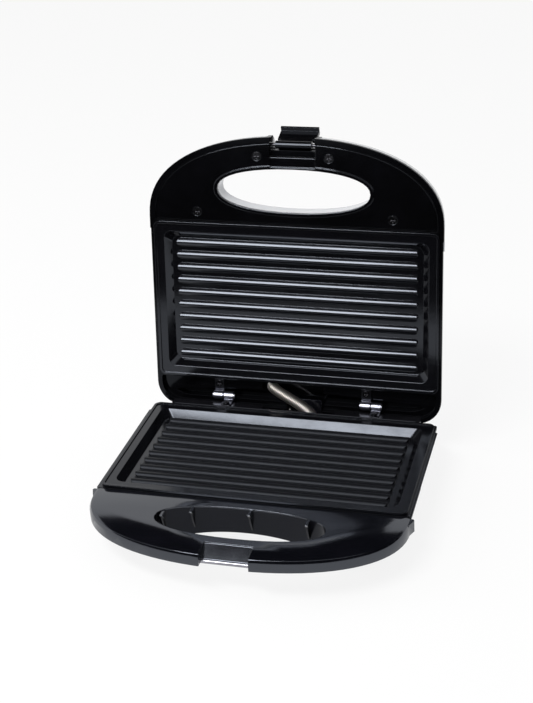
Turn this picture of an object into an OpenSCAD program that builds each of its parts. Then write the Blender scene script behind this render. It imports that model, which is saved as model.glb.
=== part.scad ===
// Countertop sandwich toaster: two ribbed grill plates in a hinged pair of moulded housings.
// X points right, Y points back and Z points up. Lengths are millimetres and angles degrees.
// Base and lid are drawn closed, about the rim plane and back edge of the lower plate, and the
// lid then swings open to its stop, which is the rest pose.

/* [Grill plates] */
// Width of each grill plate
plate_w = 220; // [205:1:235]
// Depth of each grill plate from front to back
plate_d = 125; // [116:1:134]
// Wall of the cast plates
plate_t = 1.5; // [1.2:0.1:2]
// Corner radius of the plates
plate_r = 5; // [3:0.5:7]
// Width of the flat rim round each pan
flange_w = 7.7; // [7:0.1:9]
// Height of the bead along the edge of a plate
bead_h = 0.8; // [0.4:0.1:0.9]
// Depth of a pan below its rim
pan_depth = 5.5; // [4.5:0.1:6]
// Number of grill ribs in a pan
rib_count = 10; // [6:1:10]
// Distance from rib to rib
rib_pitch = 10; // [9:0.1:10]
// Width of a rib
rib_w = 6.5; // [5:0.1:7]
// Height of a rib
rib_h = 2.6; // [2:0.1:3]
// Length of a rib
rib_l = 186.6; // [150:1:188]
// Gap between the rims of the closed plates
plate_gap = 2; // [1.8:0.1:3]

/* [Heating] */
// Radius of a heating rod
rod_r = 3.3; // [2.5:0.1:3.5]
// Distance between the two runs of a heating rod
rod_span = 55; // [45:1:60]
// Depth of a reflector tray below the plate rim
tray_depth = 17.2; // [16.5:0.1:18]
// Sheet thickness of a reflector tray
tray_t = 0.8; // [0.6:0.1:1]

/* [Base] */
// Height of the lower plate rim above the table
stand_h = 34; // [34:1:40]
// Width of the base at its rails
base_w = 226; // [226:1:228]
// Top of the side rails below the plate rim
rail_drop = 2; // [1.6:0.1:2.4]
// Wall of the moulded housings
wall = 2.2; // [1.8:0.1:2.4]
// Distance of the rear edge behind the plates
rear_reach = 25; // [24:0.5:26]
// Depth of the rear shelf below the plate rim
shelf_drop = 13.5; // [13:0.1:15]
// Depth of the deck that carries the hinges
deck_d = 10; // [9.5:0.1:10.3]
// Half width of the hinge deck
deck_half = 98; // [92:1:100]
// Radius of a rubber foot
foot_r = 7; // [5:0.5:8]
// Height of a rubber foot
foot_h = 4; // [3:0.5:6]

/* [Handles] */
// Reach of the round handle in front of the plates
handle_reach = 68; // [64:0.5:72]
// Half width of the round handle
handle_half = 113; // [112:0.5:114]
// Height of the skirt round the base handle
skirt_h = 9.5; // [9:0.1:11]
// Half width of a hand hole
hole_half = 60; // [52:0.5:62]
// Half depth of a hand hole
hole_deep = 18.5; // [16:0.1:19]
// Wall of the handle covers
cover_t = 2; // [1.6:0.1:2.4]

/* [Lid] */
// Thickness of the lid at its handle
grip_h = 16; // [15:0.5:20]
// Thickness of the lid over the plates
lid_h = 34; // [32:0.5:40]
// Angle of the lid at rest, from closed
open_angle = 96.5; // [90:0.5:98]
// Radius of an indicator lens
lens_r = 3; // [2:0.1:4]

/* [Hinges and latch] */
// Distance between the two hinges
hinge_span = 117; // [100:1:130]
// Height of the hinge axis above the lower plate rim
hinge_z = 3.2; // [3:0.1:3.4]
// Distance of the hinge axis behind the plates
hinge_y = 14.6; // [14.4:0.1:15]
// Radius of a hinge knuckle
knuckle_r = 3.4; // [3.2:0.1:3.5]
// Width of a hinge knuckle
knuckle_w = 7.4; // [6:0.1:8]
// Thickness of a hinge leaf
leaf_t = 1.2; // [1:0.1:1.4]
// Radius of a hinge pin
pin_r = 1.6; // [1.2:0.1:1.8]
// Half width of the latch barrel
latch_half = 13.8; // [12:0.1:15]
// Radius of the latch barrel
barrel_r = 2.9; // [2.6:0.1:3]
// Thickness of the latch arm
arm_t = 3; // [2.5:0.1:3.2]
// Angle through which the latch swings from rest to hooked
latch_swing = 158; // [150:1:160]
// Radius of the latch pin
latch_pin_r = 1.2; // [1:0.1:1.4]

/* [Conduit and inlet] */
// Outer radius of the coiled conduit
conduit_r = 4; // [3.5:0.1:4.2]
// Radius of the conduit wire
wire_r = 0.32; // [0.25:0.01:0.36]
// Distance from curl to curl of the conduit
curl_pitch = 1.8; // [1.7:0.01:1.9]
// Radius of the inlet bore for the mains lead
inlet_r = 3.5; // [3:0.1:4]

/* [Hidden] */
$fn = 48;

slip = 0.3;
seam = 0.02;
skin = 0.01;
fit = 0.05;
corner_steps = 8;
through = 40;

// Plates
plate_half = plate_w / 2;
pan_half = plate_half - flange_w;
pan_back = -flange_w;
pan_front = -plate_d + flange_w;
pan_draft = 4.7;
pan_r = 6;
bead_w = 2;
rib_arc = (rib_w * rib_w / 4 + rib_h * rib_h) / (2 * rib_h);
plate_mid = -plate_d / 2;
stud_x = plate_half - 35;
stud_y = plate_d / 2 - 20;
stud_r = 4;
screw_r = 1.5;
head_r = 3;
head_h = 1.8;
slot_w = 0.8;
slot_deep = 0.7;
rod_z = -pan_depth - plate_t - rod_r - slip;
rod_half = stud_x - stud_r - rod_span / 2 + rod_r;
rod_end = 60;
rod_bend = 8;
rod_pin_r = 1.2;
rod_pin_l = 4;

// Ledges and trays that clamp each plate
ledge_t = 2;
ledge_half = plate_half - 4.5;
ledge_inset = 4.5;
tray_half = ledge_half - 0.8;
tray_rim = 3;
tray_draft = 5;
tray_back = -ledge_inset - 0.8;
tray_front = -plate_d + ledge_inset + 0.8;
tray_r = 6;

// Base
base_half = base_w / 2;
lid_half = base_half - 0.6;
base_floor = -stand_h + foot_h;
shelf_z = -shelf_drop;
rail_z = -rail_drop;
plate_play = 1.3;
rail_back = -8;
front_wall = -plate_d - 9;
knee_z = -19;
side_draft = 0.34;
rail_foot = base_half - side_draft * (shelf_drop - rail_drop);
rail_r = 1.5;
rear_r = 20;
front_r = 12;
toe_y = 13 - plate_d;
heel_y = 15;
belly_z = base_floor + 3;
deck_z = hinge_z - knuckle_r;
lip_z = 1;
lip_d = 1.6;
deck_front = slip + 0.1;
recess_left = -26;
recess_right = 31;
recess_y = 4;
foot_x = base_half - 29;
foot_back = 0;
foot_front = toe_y + 14;
stem_r = 2.5;
boss_r = 5;
boss_h = 3.2;
head_seat = 1.2;
thread_r = screw_r - 0.1;
stop_x = base_half - 33;
stop_half = 6;
stop_rise = 2.5;
terminal_foot = 18;

// Handles
handle_y = -plate_d - 4;
handle_deep = handle_reach - 4;
handle_tip = handle_y - handle_deep;
handle_power = 2.25;
handle_steps = 44;
hole_y = handle_y - 23.5;
hole_steps = 40;
cover_z = -1.5;
cover_back = -plate_d - 0.5;
cover_low = cover_z - skirt_h;
skirt_gap = 0.6;
tip_reach = 2.2;
tip_run = 8;
under_z = cover_low + 0.2;
under_t = 2;
gusset_t = 2;
gusset_run = 7;
gusset_x = [-56, -37, 3.5, 45];
notch_half = 17;
ramp_back = handle_tip + 15.5;
ramp_front = handle_tip + 6.4;
ramp_top = -2.5;
ramp_low = -8.7;
ramp_t = 1;
strike_front = handle_tip + 5.8;
strike_d = 4;
strike_h = 2.3;
cover_round = 3;
cover_screws = [
    for (x = [-82, 82]) [x, handle_y - 19],
    for (x = [-30, 30]) [x, handle_tip + 12.6]
];

// Lid, drawn closed
lid_z = plate_gap;
band_h = 3;
shell_z = lid_z + band_h;
grip_z = lid_z + grip_h;
lid_top = lid_z + lid_h;
lid_r = 19;
lid_draft = 0.27;
shell_t = 2;
panel_inset = 5;
panel_z = lid_z + 0.6;
panel_t = 2.2;
rim_w = 2.7;
rim_h = 0.7;
panel_back = -plate_d - 1.5;
lid_hole_half = hole_half - 1.5;
lid_hole_deep = hole_deep - 1.75;
lid_deck_z = hinge_z + knuckle_r;
recess_z = 14;
deck_inset = 5.4;
low_inset = 3.8;
trough_left = -28;
trough_right = 21;
deck_bow = 986;
deck_bow_y = 8.5;
panel_screws = [
    for (x = [-75, 75]) [x, handle_y - 4.5],
    for (x = [-27.4, 27.4]) [x, handle_tip + 15]
];
panel_seat = 1;
panel_head_h = 0.9;
lens_x = 12;
lens_y = 29 - plate_d;
lens_h = 5;

// Hinges
hinge_gap = 1;
leaf_front = 2.2;
hinge_screw_y = 5.6;
hinge_head_r = 2.4;
hinge_head_h = 1.2;
hinge_screw_l = 5;
pin_head_h = 0.7;

// Latch, about its own axis and hooked
latch_y = handle_tip + 7;
latch_z = 8.5;
arm_out = -4.5;
arm_half = 12;
tip_half = 14.7;
tip_z = -9.5;
hook_z = -20.8;
hook_t = 1.7;
hook_in = 1.5;
cradle_half = notch_half + 3.3;
cradle_back = handle_tip + 15.5;
notch_back = handle_tip + 10.8;
cradle_top = 13;

// Conduit between lid and base
conduit_lid = [-21, 7, recess_z];
conduit_base = [12, 14.6, shelf_z];
conduit_end = 2 * conduit_r;
conduit_in = 4;
conduit_arm = 17;
conduit_steps = 40;
gap_left = -8;
gap_right = 20;
gap_deep = 9.5;
liner_r = 2.9;
liner_steps = 30;
liner_sides = 16;
bush_r = conduit_r + 1.9;
flange_t = 1.2;
curl_rings = 8;
curl_sides = 6;

// Terminals and thermostat
terminal = [44, 14, 10];
terminal_x = -34;
terminal_y = 3;
disc_r = 8;
disc_h = 6;
strap = [34, 8, 1];
strap_screw_x = 13;
inlet_x = 62;
inlet_z = -20.5;
bush_wall = 1.6;

// The stored part is centred on its feet, with the lid open
lid_turn = [-open_angle, 0, 0];
hinge_at = [0, hinge_y, hinge_z];
latch_reach = norm([arm_out, hook_z - hook_t]);
back_most = opened([0, latch_y, latch_z])[1] + latch_reach;
front_most = handle_tip;
centre_y = -(back_most + front_most) / 2;

function opened(p) = [
    p[0],
    hinge_y + (p[1] - hinge_y) * cos(open_angle) + (p[2] - hinge_z) * sin(open_angle),
    hinge_z - (p[1] - hinge_y) * sin(open_angle) + (p[2] - hinge_z) * cos(open_angle)
];

function unit(v) = v / norm(v);

// A stretch of round corner
function corner(x, y, r, start) = [
    for (a = [start:90 / corner_steps:start + 90.1]) [x + r * cos(a), y + r * sin(a)]
];

// A body outline with its own corner radius at the back and at the front
function outline(half, back, front, r_back, r_front) = concat(
    corner(half - r_back, back - r_back, r_back, 0),
    corner(-half + r_back, back - r_back, r_back, 90),
    corner(-half + r_front, front + r_front, r_front, 180),
    corner(half - r_front, front + r_front, r_front, 270)
);

// A full superellipse, for the hand holes
function oval(half, deep, y) = [
    for (i = [0:hole_steps - 1])
        let (a = i * 360 / hole_steps)
        [half * signed_power(cos(a)), y + deep * signed_power(sin(a))]
];

function signed_power(c) = sign(c) * pow(abs(c), 2 / handle_power);

// The front half of a superellipse, closed by a straight back edge
function handle(inset, back) =
    let (
        half = handle_half - inset,
        deep = handle_deep - inset,
        rise = pow(max(handle_y - back, 0) / deep, handle_power),
        end = half * pow(1 - rise, 1 / handle_power)
    )
    concat(
        [[end, back], [-end, back]],
        [
            for (i = [0:handle_steps])
                let (
                    a = 180 + i * 180 / handle_steps,
                    y = handle_y + deep * signed_power(sin(a))
                )
                if (y < back - seam) [half * signed_power(cos(a)), y]
        ]
    );

module in_base() {
    translate([0, centre_y, stand_h]) children();
}

module in_lid() {
    in_base() translate(hinge_at) rotate(lid_turn) translate(-hinge_at) children();
}

// Turns a drawing of the base grill into the lid's, face to face with it
module facing() {
    translate([0, 0, plate_gap]) mirror([0, 0, 1]) children();
}

module slab(points, z) {
    translate([0, 0, z]) linear_extrude(skin) polygon(points);
}

// A solid from a closed outline between two heights
module prism(points, low, high) {
    translate([0, 0, low]) linear_extrude(high - low) polygon(points);
}

module rounded(half, back, front, r) {
    translate([-half, front + r]) square([2 * half, back - front - 2 * r]);
    translate([-half + r, front]) square([2 * (half - r), back - front]);
    for (x = [r - half, half - r], y = [front + r, back - r]) translate([x, y]) circle(r);
}

// A vertical cylinder between two heights
module post(x, y, r, low, high) {
    translate([x, y, low]) cylinder(r = r, h = high - low);
}

// A block spanned by two corners
module block(a, b) {
    translate(a) cube(b - a);
}

// A profile drawn in Y and Z, centred on X
module profile(x, half) {
    translate([x - half, 0, 0]) rotate([90, 0, 90]) linear_extrude(2 * half) children();
}

// Head below a face, shank above it, with a cross slot in the head
module screw(x, y, face, length, r = screw_r, head = head_r, high = head_h) {
    difference() {
        union() {
            post(x, y, head, face - high, face);
            post(x, y, r, face - seam, face + length);
        }
        for (turn = [0, 90])
            translate([x, y, face - high])
                rotate([0, 0, turn])
                    cube([head * 1.3, slot_w, 2 * slot_deep], center = true);
    }
}

// ---- Grill assembly, drawn for the base ----

module pan(grow, top) {
    hull() {
        slab(outline(pan_half + grow, pan_back + grow, pan_front - grow,
                     pan_r + grow, pan_r + grow), top);
        slab(outline(pan_half - pan_draft + grow, pan_back - pan_draft + grow,
                     pan_front + pan_draft - grow, pan_r, pan_r), -pan_depth - grow);
    }
}

module rib(y) {
    end = rib_l / 2 - rib_w / 2;
    intersection() {
        translate([-rib_l / 2, y, -pan_depth + rib_h - rib_arc])
            rotate([0, 90, 0]) cylinder(r = rib_arc, h = rib_l);
        translate([0, y, -pan_depth - seam])
            linear_extrude(rib_h + 2 * seam) {
                square([2 * end, rib_w], center = true);
                for (x = [-end, end]) translate([x, 0]) circle(rib_w / 2);
            }
    }
}

module studs(r, low, high) {
    for (x = [-stud_x, stud_x], y = [-stud_y, stud_y]) post(x, plate_mid + y, r, low, high);
}

module grill_plate() {
    color("#232326") {
        difference() {
            union() {
                translate([0, 0, -plate_t])
                    linear_extrude(plate_t) rounded(plate_half, 0, -plate_d, plate_r);
                translate([0, 0, -seam])
                    linear_extrude(bead_h + seam)
                        difference() {
                            rounded(plate_half, 0, -plate_d, plate_r);
                            rounded(plate_half - bead_w, -bead_w, bead_w - plate_d,
                                    plate_r - bead_w);
                        }
                pan(plate_t, -plate_t);
                studs(stud_r, -tray_depth, -pan_depth - plate_t + seam);
            }
            pan(0, skin);
            studs(screw_r + fit, -tray_depth - seam, -pan_depth - plate_t);
        }
        for (i = [0:rib_count - 1]) rib(plate_mid + (i - (rib_count - 1) / 2) * rib_pitch);
    }
}

// One end of the rod, which bends down through the tray
module rod_tail(y) {
    translate([rod_end, y, rod_z - rod_bend])
        rotate([90, 0, 0]) rotate_extrude(angle = 90) translate([rod_bend, 0]) circle(rod_r);
    post(rod_end + rod_bend, y, rod_r, -tray_depth - rod_pin_l, rod_z - rod_bend);
    post(rod_end + rod_bend, y, rod_pin_r, -tray_depth - 2 * rod_pin_l, -tray_depth);
}

module heating_rod() {
    color("#7d7a76") {
        for (side = [-1, 1]) {
            translate([-rod_half, plate_mid + side * rod_span / 2, rod_z])
                rotate([0, 90, 0]) cylinder(r = rod_r, h = rod_half + rod_end);
            rod_tail(plate_mid + side * rod_span / 2);
        }
        translate([-rod_half, plate_mid, rod_z])
            rotate([0, 0, 90]) rotate_extrude(angle = 180) translate([rod_span / 2, 0]) circle(rod_r);
    }
}

module tray_form(inset, low) {
    hull() {
        slab(outline(tray_half - inset, tray_back - inset, tray_front + inset, tray_r, tray_r),
             -plate_t - ledge_t);
        slab(outline(tray_half - tray_draft - inset, tray_back - tray_draft - inset,
                     tray_front + tray_draft + inset, tray_r, tray_r), low);
    }
}

module reflector() {
    rim_z = -plate_t - ledge_t;
    color("#b9bcc0")
        difference() {
            union() {
                tray_form(0, -tray_depth - tray_t);
                translate([0, 0, rim_z - tray_t])
                    linear_extrude(tray_t)
                        rounded(tray_half + tray_rim, tray_back + tray_rim,
                                tray_front - tray_rim, tray_r + tray_rim);
            }
            tray_form(tray_t, -tray_depth);
            studs(screw_r + slip, -tray_depth - 2 * tray_t, -tray_depth + seam);
            for (side = [-1, 1])
                post(rod_end + rod_bend, plate_mid + side * rod_span / 2, rod_r + 2 * slip,
                     -tray_depth - 2 * tray_t, -tray_depth + seam);
        }
}

module plate_screws() {
    color("#a8abb0")
        for (x = [-stud_x, stud_x], y = [-stud_y, stud_y])
            screw(x, plate_mid + y, -tray_depth - tray_t, 8);
}

// ---- Base ----

module hand_hole(grow, low, high) {
    prism(oval(hole_half + grow, hole_deep + grow, hole_y), low, high);
}

// Outside of the tub, or its cavity when shrunk by a wall
module tub(inset) {
    top_half = rail_foot - inset;
    knee_half = top_half - side_draft * (-knee_z - shelf_drop);
    belly_half = top_half - side_draft * (shelf_z - belly_z);
    hull() {
        slab(outline(top_half, rear_reach - inset, front_wall + inset,
                     rear_r - inset, front_r - inset), shelf_z - inset - skin);
        slab(outline(knee_half, rear_reach - 1.5 - inset, front_wall + inset,
                     rear_r - inset, front_r - inset), knee_z);
        slab(outline(belly_half, heel_y + 4 - inset, toe_y - 4 + inset,
                     rear_r - inset, rear_r - inset), belly_z + inset * 0.4);
        slab(outline(belly_half - 4, heel_y - inset, toe_y + inset,
                     rear_r - inset, rear_r - inset), base_floor + inset);
    }
}

// A profile drawn in X and Z, between two places in Y
module section(back, front) {
    translate([0, back, 0]) rotate([90, 0, 0]) linear_extrude(back - front) children();
}

// Outside of the raised rails round the plate
module rails() {
    front = cover_back + slip;
    intersection() {
        section(rail_back, front)
            polygon([
                [-base_half, rail_z],
                [base_half, rail_z],
                [rail_foot, shelf_z - seam],
                [-rail_foot, shelf_z - seam]
            ]);
        translate([0, 0, shelf_z - 1])
            linear_extrude(shelf_drop) rounded(base_half, rail_back, front, rail_r);
    }
}

// The hollow between the rails, open at the top
module rails_inside() {
    half = plate_half + plate_play;
    low = rail_foot - wall - 0.6;
    section(rail_back + 1, cover_back - 0.2)
        polygon([
            [-half, rail_z + 1],
            [half, rail_z + 1],
            [half, rail_z - 1],
            [low, shelf_z - wall - 1],
            [-low, shelf_z - wall - 1],
            [-half, rail_z - 1]
        ]);
}

// The block behind the plate that carries the hinges
module deck() {
    translate([0, 0, shelf_z])
        linear_extrude(deck_z - shelf_z) rounded(deck_half, deck_d, deck_front, 3);
    translate([0, 0, shelf_z])
        linear_extrude(shelf_drop - plate_t - ledge_t)
            rounded(plate_half, deck_front + 1, rail_back - 4, plate_r);
    profile(0, deck_half - 3)
        polygon([
            [deck_front, deck_z - seam],
            [deck_front, lip_z - 0.6],
            [deck_front + 0.5, lip_z],
            [deck_front + lip_d - 0.6, lip_z],
            [deck_front + lip_d, deck_z - seam]
        ]);
}

// Front strip of the tub and the under half of the handle
module under_handle() {
    prism(handle(cover_t + skirt_gap, rail_back - plate_d / 2), under_z - under_t, under_z);
    for (p = cover_screws) post(p[0], p[1], boss_r, under_z - seam, under_z + boss_h);
    block([-ledge_half, front_wall, shelf_z - wall],
          [ledge_half, cover_back - 0.2, cover_z - cover_t - slip]);
}

// Ledge round the opening that a plate's rim rests on
module ledge(outer, back, front) {
    translate([0, 0, -plate_t - ledge_t])
        linear_extrude(ledge_t)
            difference() {
                rounded(outer, back, front, 2);
                rounded(ledge_half, -ledge_inset, ledge_inset - plate_d, tray_r);
            }
}

module deck_screw_bores(z, deep) {
    for (side = [-1, 1])
        post(base_knuckle(side), hinge_screw_y, thread_r, z - deep, z + seam);
}

function hinge_x(side) = side * hinge_span / 2;

function base_knuckle(side) = hinge_x(side) + (knuckle_w + hinge_gap) / 2;

function lid_knuckle(side) = hinge_x(side) - (knuckle_w + hinge_gap) / 2;

// Ribs behind the deck that the open lid's rear rim comes to rest on
module stops() {
    rim = opened([0, rear_reach, lid_z]);
    for (side = [-1, 1])
        block([side * stop_x - stop_half, deck_d - wall, shelf_z - seam],
              [side * stop_x + stop_half, rim[1] - slip, rim[2] + stop_rise]);
}

module base_inside() {
    difference() {
        union() {
            tub(wall);
            rails_inside();
            block([-tray_half - tray_rim - slip, rail_back - 2 * wall, shelf_z - wall - 1],
                  [tray_half + tray_rim + slip, tray_back + tray_rim + slip, -plate_t - ledge_t]);
            block([-deck_half + wall, rail_back - 2 * wall, shelf_z - 2 * wall],
                  [deck_half - wall, deck_d - wall, deck_z - wall]);
            block([wall - ledge_half, front_wall + 2 * wall, shelf_z - 2 * wall],
                  [ledge_half - wall, cover_back, cover_z - cover_t - slip - wall]);
        }
        // Bosses that stand in the cavity
        for (side = [-1, 1]) {
            post(base_knuckle(side), hinge_screw_y, stud_r, deck_z - 2 * wall - 4, deck_z);
            post(terminal_x + side * terminal_foot, terminal_y, stud_r, base_floor, base_floor + wall + 2);
        }
        feet_at() post(0, 0, boss_r, base_floor, base_floor + 2 * wall);
        post(conduit_base[0], conduit_base[1], bush_r, shelf_z - 2 * wall, shelf_z);
    }
}

module feet_at() {
    for (x = [-foot_x, foot_x], y = [foot_front, foot_back]) translate([x, y, 0]) children();
}

// The inlet passes the rear wall of the tub, level
module inlet_bore(r, back, front) {
    translate([inlet_x, front, inlet_z]) rotate([-90, 0, 0]) cylinder(r = r, h = back - front);
}

module base_housing() {
    color("#1f2024")
        in_base()
            difference() {
                union() {
                    difference() {
                        union() {
                            tub(0);
                            rails();
                            deck();
                            under_handle();
                        }
                        base_inside();
                    }
                    ledge(plate_half + plate_play + seam, deck_front + 1, cover_back);
                    stops();
                }
                hand_hole(cover_t + slip, under_z - under_t - 0.1, cover_z);
                block([-notch_half - cover_t - slip, -through * 6, -through],
                      [notch_half + cover_t + slip, ramp_back + cover_t + slip, rail_z]);
                for (p = cover_screws) {
                    post(p[0], p[1], screw_r + slip, -through, under_z + through / 4);
                    post(p[0], p[1], head_r + slip, -through, under_z + head_seat);
                }
                block([recess_left, recess_y, shelf_z], [recess_right, deck_d + 1, lip_z]);
                deck_screw_bores(deck_z, hinge_screw_l + 1);
                feet_at() post(0, 0, stem_r, base_floor - 1, base_floor + through / 4);
                inlet_bore(inlet_r + bush_wall + fit, rear_reach + 5, heel_y - 8);
                post(conduit_base[0], conduit_base[1], bush_r - flange_t,
                     shelf_z - 2 * wall - 2, shelf_z + 1);
            }
}

// Rounded-over top of the handle cover, or its hollow when shrunk by a wall
module cover_form(inset, low, back = cover_back) {
    hull() {
        slab(handle(inset + cover_round, back - 0.8), cover_z - inset - skin);
        slab(handle(inset + 1, back), cover_z - inset - 0.9);
        slab(handle(inset, back), cover_z - inset - cover_round);
        slab(handle(inset, back), low);
    }
}

// Flared wing at each end of the handle cover
module cover_tip() {
    for (side = [0, 1])
        mirror([side, 0, 0])
            prism([
                [handle_half - cover_t, cover_back],
                [handle_half + tip_reach - 0.8, cover_back],
                [handle_half + tip_reach, cover_back - 1.4],
                [handle_half - 0.4, cover_back - tip_run],
                [handle_half - cover_t, cover_back - tip_run]
            ], cover_low, cover_z - 1);
}

module gusset(x) {
    top = hole_y + hole_deep * pow(1 - pow(abs(x) / hole_half, handle_power), 1 / handle_power);
    profile(x, gusset_t / 2)
        polygon([
            [top + 1, cover_z - 0.6],
            [top - gusset_run, cover_z - 0.6],
            [top - gusset_run + 1, cover_z - 2.4],
            [top + 1, cover_low]
        ]);
}

// Chute in the handle cover that the latch drops into
module chute() {
    profile(0, notch_half)
        polygon([
            [ramp_back, ramp_top],
            [ramp_front, ramp_low],
            [ramp_front, ramp_low - through],
            [-plate_d * 2, ramp_low - through],
            [-plate_d * 2, cover_z + 5],
            [ramp_back, cover_z + 5]
        ]);
}

// Hollow below the chute's floor
module under_chute() {
    profile(0, notch_half)
        polygon([
            [ramp_back + cover_t + 1, ramp_top - 2 * cover_t],
            [ramp_front + 1, ramp_low - ramp_t],
            [ramp_front + 1, ramp_low - through],
            [ramp_back + cover_t + 1, ramp_low - through]
        ]);
}

// Cheeks and floor round the chute, before it is cut
module chute_block() {
    front = handle_tip + cover_t / 2;
    profile(0, notch_half + cover_t)
        polygon([
            [ramp_back + cover_t, cover_z - 1],
            [front + 2.2, cover_z - 1],
            [front, cover_z - 3.4],
            [front, cover_low],
            [ramp_back + cover_t, cover_low]
        ]);
}

module base_handle_cover() {
    color("#26272c")
        in_base()
            difference() {
                union() {
                    difference() {
                        union() {
                            cover_form(0, cover_low);
                            cover_tip();
                        }
                        difference() {
                            cover_form(cover_t, cover_low - 1, cover_back + 2);
                            hand_hole(cover_t, cover_low, cover_z);
                            for (p = cover_screws) post(p[0], p[1], boss_r, under_z + boss_h, cover_z);
                        }
                        hand_hole(0, cover_low - 1, cover_z + 1);
                    }
                    intersection() {
                        for (x = gusset_x) gusset(x);
                        hand_hole(seam, cover_low, cover_z);
                    }
                    chute_block();
                }
                chute();
                under_chute();
                block([-notch_half - cover_t - 1, strike_front, ramp_low - ramp_t - strike_h],
                      [notch_half + cover_t + 1, strike_front + strike_d, ramp_low - ramp_t]);
                for (p = cover_screws) post(p[0], p[1], screw_r, under_z, cover_z - cover_t);
            }
}

module base_grill_plate() {
    in_base() grill_plate();
}

module base_heating_rod() {
    in_base() heating_rod();
}

module base_reflector() {
    in_base() reflector();
}

module base_plate_screws() {
    in_base() plate_screws();
}

module base_cover_screws() {
    color("#5a5c60")
        in_base()
            for (p = cover_screws) screw(p[0], p[1], under_z + head_seat, 5.5);
}

module rubber_feet() {
    color("#2c2c2c")
        in_base()
            feet_at() {
                difference() {
                    post(0, 0, foot_r, -stand_h, base_floor);
                    post(0, 0, stem_r, -stand_h - 1, -stand_h + 1.5);
                }
                post(0, 0, stem_r - fit, base_floor - seam, base_floor + 2 * wall - 1);
            }
}

module inlet_bush() {
    color("#2b2b2d")
        in_base()
            difference() {
                union() {
                    inlet_bore(inlet_r + bush_wall, rear_reach + 1, heel_y - 2);
                    inlet_bore(inlet_r + 2 * bush_wall, rear_reach + 2.5, rear_reach + 0.4);
                }
                inlet_bore(inlet_r, rear_reach + through, heel_y - through);
            }
}

module terminal_block() {
    low = base_floor + wall + 2;
    color("#d9d6cc")
        in_base()
            translate([terminal_x, terminal_y, low])
                difference() {
                    block([-terminal[0] / 2, -terminal[1] / 2, 0],
                          [terminal[0] / 2, terminal[1] / 2, terminal[2]]);
                    for (i = [-1.5, -0.5, 0.5, 1.5]) {
                        translate([i * terminal[0] / 4, -terminal[1], terminal[2] / 2])
                            rotate([-90, 0, 0]) cylinder(r = 2, h = 2 * terminal[1]);
                        post(i * terminal[0] / 4, 0, 1.8, terminal[2] / 2, terminal[2] + 1);
                    }
                }
}

module latch_strike() {
    top = ramp_low - ramp_t;
    color("#b4b6ba")
        in_base()
            profile(0, notch_half + cover_t - slip)
                polygon([
                    [strike_front, top - strike_h],
                    [strike_front, top - 0.3],
                    [strike_front + 0.3, top],
                    [strike_front + strike_d, top],
                    [strike_front + strike_d, top - strike_h]
                ]);
}

// ---- Hinges ----

// A strip that runs into a bored knuckle; the other leaf is the same piece turned over
module leaf(x) {
    difference() {
        profile(x, knuckle_w / 2)
            difference() {
                union() {
                    translate([hinge_y, hinge_z]) circle(knuckle_r);
                    polygon([
                        [leaf_front, deck_z],
                        [hinge_y, deck_z],
                        [hinge_y, deck_z + leaf_t],
                        [leaf_front, deck_z + leaf_t]
                    ]);
                }
                translate([hinge_y, hinge_z]) circle(pin_r + fit);
            }
        post(x, hinge_screw_y, screw_r + fit, deck_z - 1, deck_z + 2 * leaf_t);
    }
}

module turned_over() {
    translate([0, 0, 2 * hinge_z]) mirror([0, 0, 1]) children();
}

module hinge_base_leaf_left() {
    color("#a9adb4") in_base() leaf(base_knuckle(-1));
}

module hinge_base_leaf_right() {
    color("#a9adb4") in_base() leaf(base_knuckle(1));
}

module hinge_lid_leaf_left() {
    color("#a9adb4") in_lid() turned_over() leaf(lid_knuckle(-1));
}

module hinge_lid_leaf_right() {
    color("#a9adb4") in_lid() turned_over() leaf(lid_knuckle(1));
}

module hinge_pins() {
    half = knuckle_w + hinge_gap / 2;
    color("#c4c7cc")
        in_base()
            for (side = [-1, 1])
                translate([hinge_x(side), hinge_y, hinge_z])
                    rotate([0, 90, 0]) {
                        cylinder(r = pin_r, h = 2 * half, center = true);
                        for (end = [-1, 1])
                            translate([0, 0, end * (half + pin_head_h / 2 + fit)])
                                cylinder(r = pin_r + 0.7, h = pin_head_h, center = true);
                        cylinder(r = pin_r, h = 2 * (half + pin_head_h), center = true);
                    }
}

// Screw heads on a leaf, with the shanks in the deck
module leaf_screw(x) {
    translate([0, 0, deck_z + leaf_t]) mirror([0, 0, 1])
        screw(x, hinge_screw_y, 0, hinge_screw_l, thread_r, hinge_head_r, hinge_head_h);
}

module hinge_base_screws() {
    color("#8f9298")
        in_base()
            for (side = [-1, 1]) leaf_screw(base_knuckle(side));
}

module hinge_lid_screws() {
    color("#8f9298")
        in_lid() turned_over()
            for (side = [-1, 1]) leaf_screw(lid_knuckle(side));
}

// ---- Conduit ----

// A flanged bush on a floor at height z that faces up
module bush(x, y, z) {
    difference() {
        union() {
            post(x, y, bush_r, z, z + flange_t);
            post(x, y, bush_r - flange_t - fit, z - wall, z + seam);
        }
        post(x, y, conduit_r + slip, z - 2 * wall, z + 2 * flange_t);
    }
}

module base_conduit_bush() {
    color("#1c1c1e") in_base() bush(conduit_base[0], conduit_base[1], shelf_z);
}

module lid_conduit_bush() {
    color("#1c1c1e")
        in_lid()
            translate([0, 0, 2 * recess_z]) mirror([0, 0, 1])
                bush(conduit_lid[0], conduit_lid[1], recess_z);
}

// The conduit leaves the lid square to its trough and enters the shelf square to it
lid_out = [0, -sin(open_angle), -cos(open_angle)];
lid_mouth = opened(conduit_lid);
route_start = lid_mouth + conduit_end * lid_out;
route_end = conduit_base + [0, 0, conduit_end];
route_lift = [0, 0, conduit_arm];

function bend(t) =
    pow(1 - t, 3) * route_start
    + 3 * t * pow(1 - t, 2) * (route_start + conduit_arm * lid_out)
    + 3 * t * t * (1 - t) * (route_end + route_lift)
    + pow(t, 3) * route_end;

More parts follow.
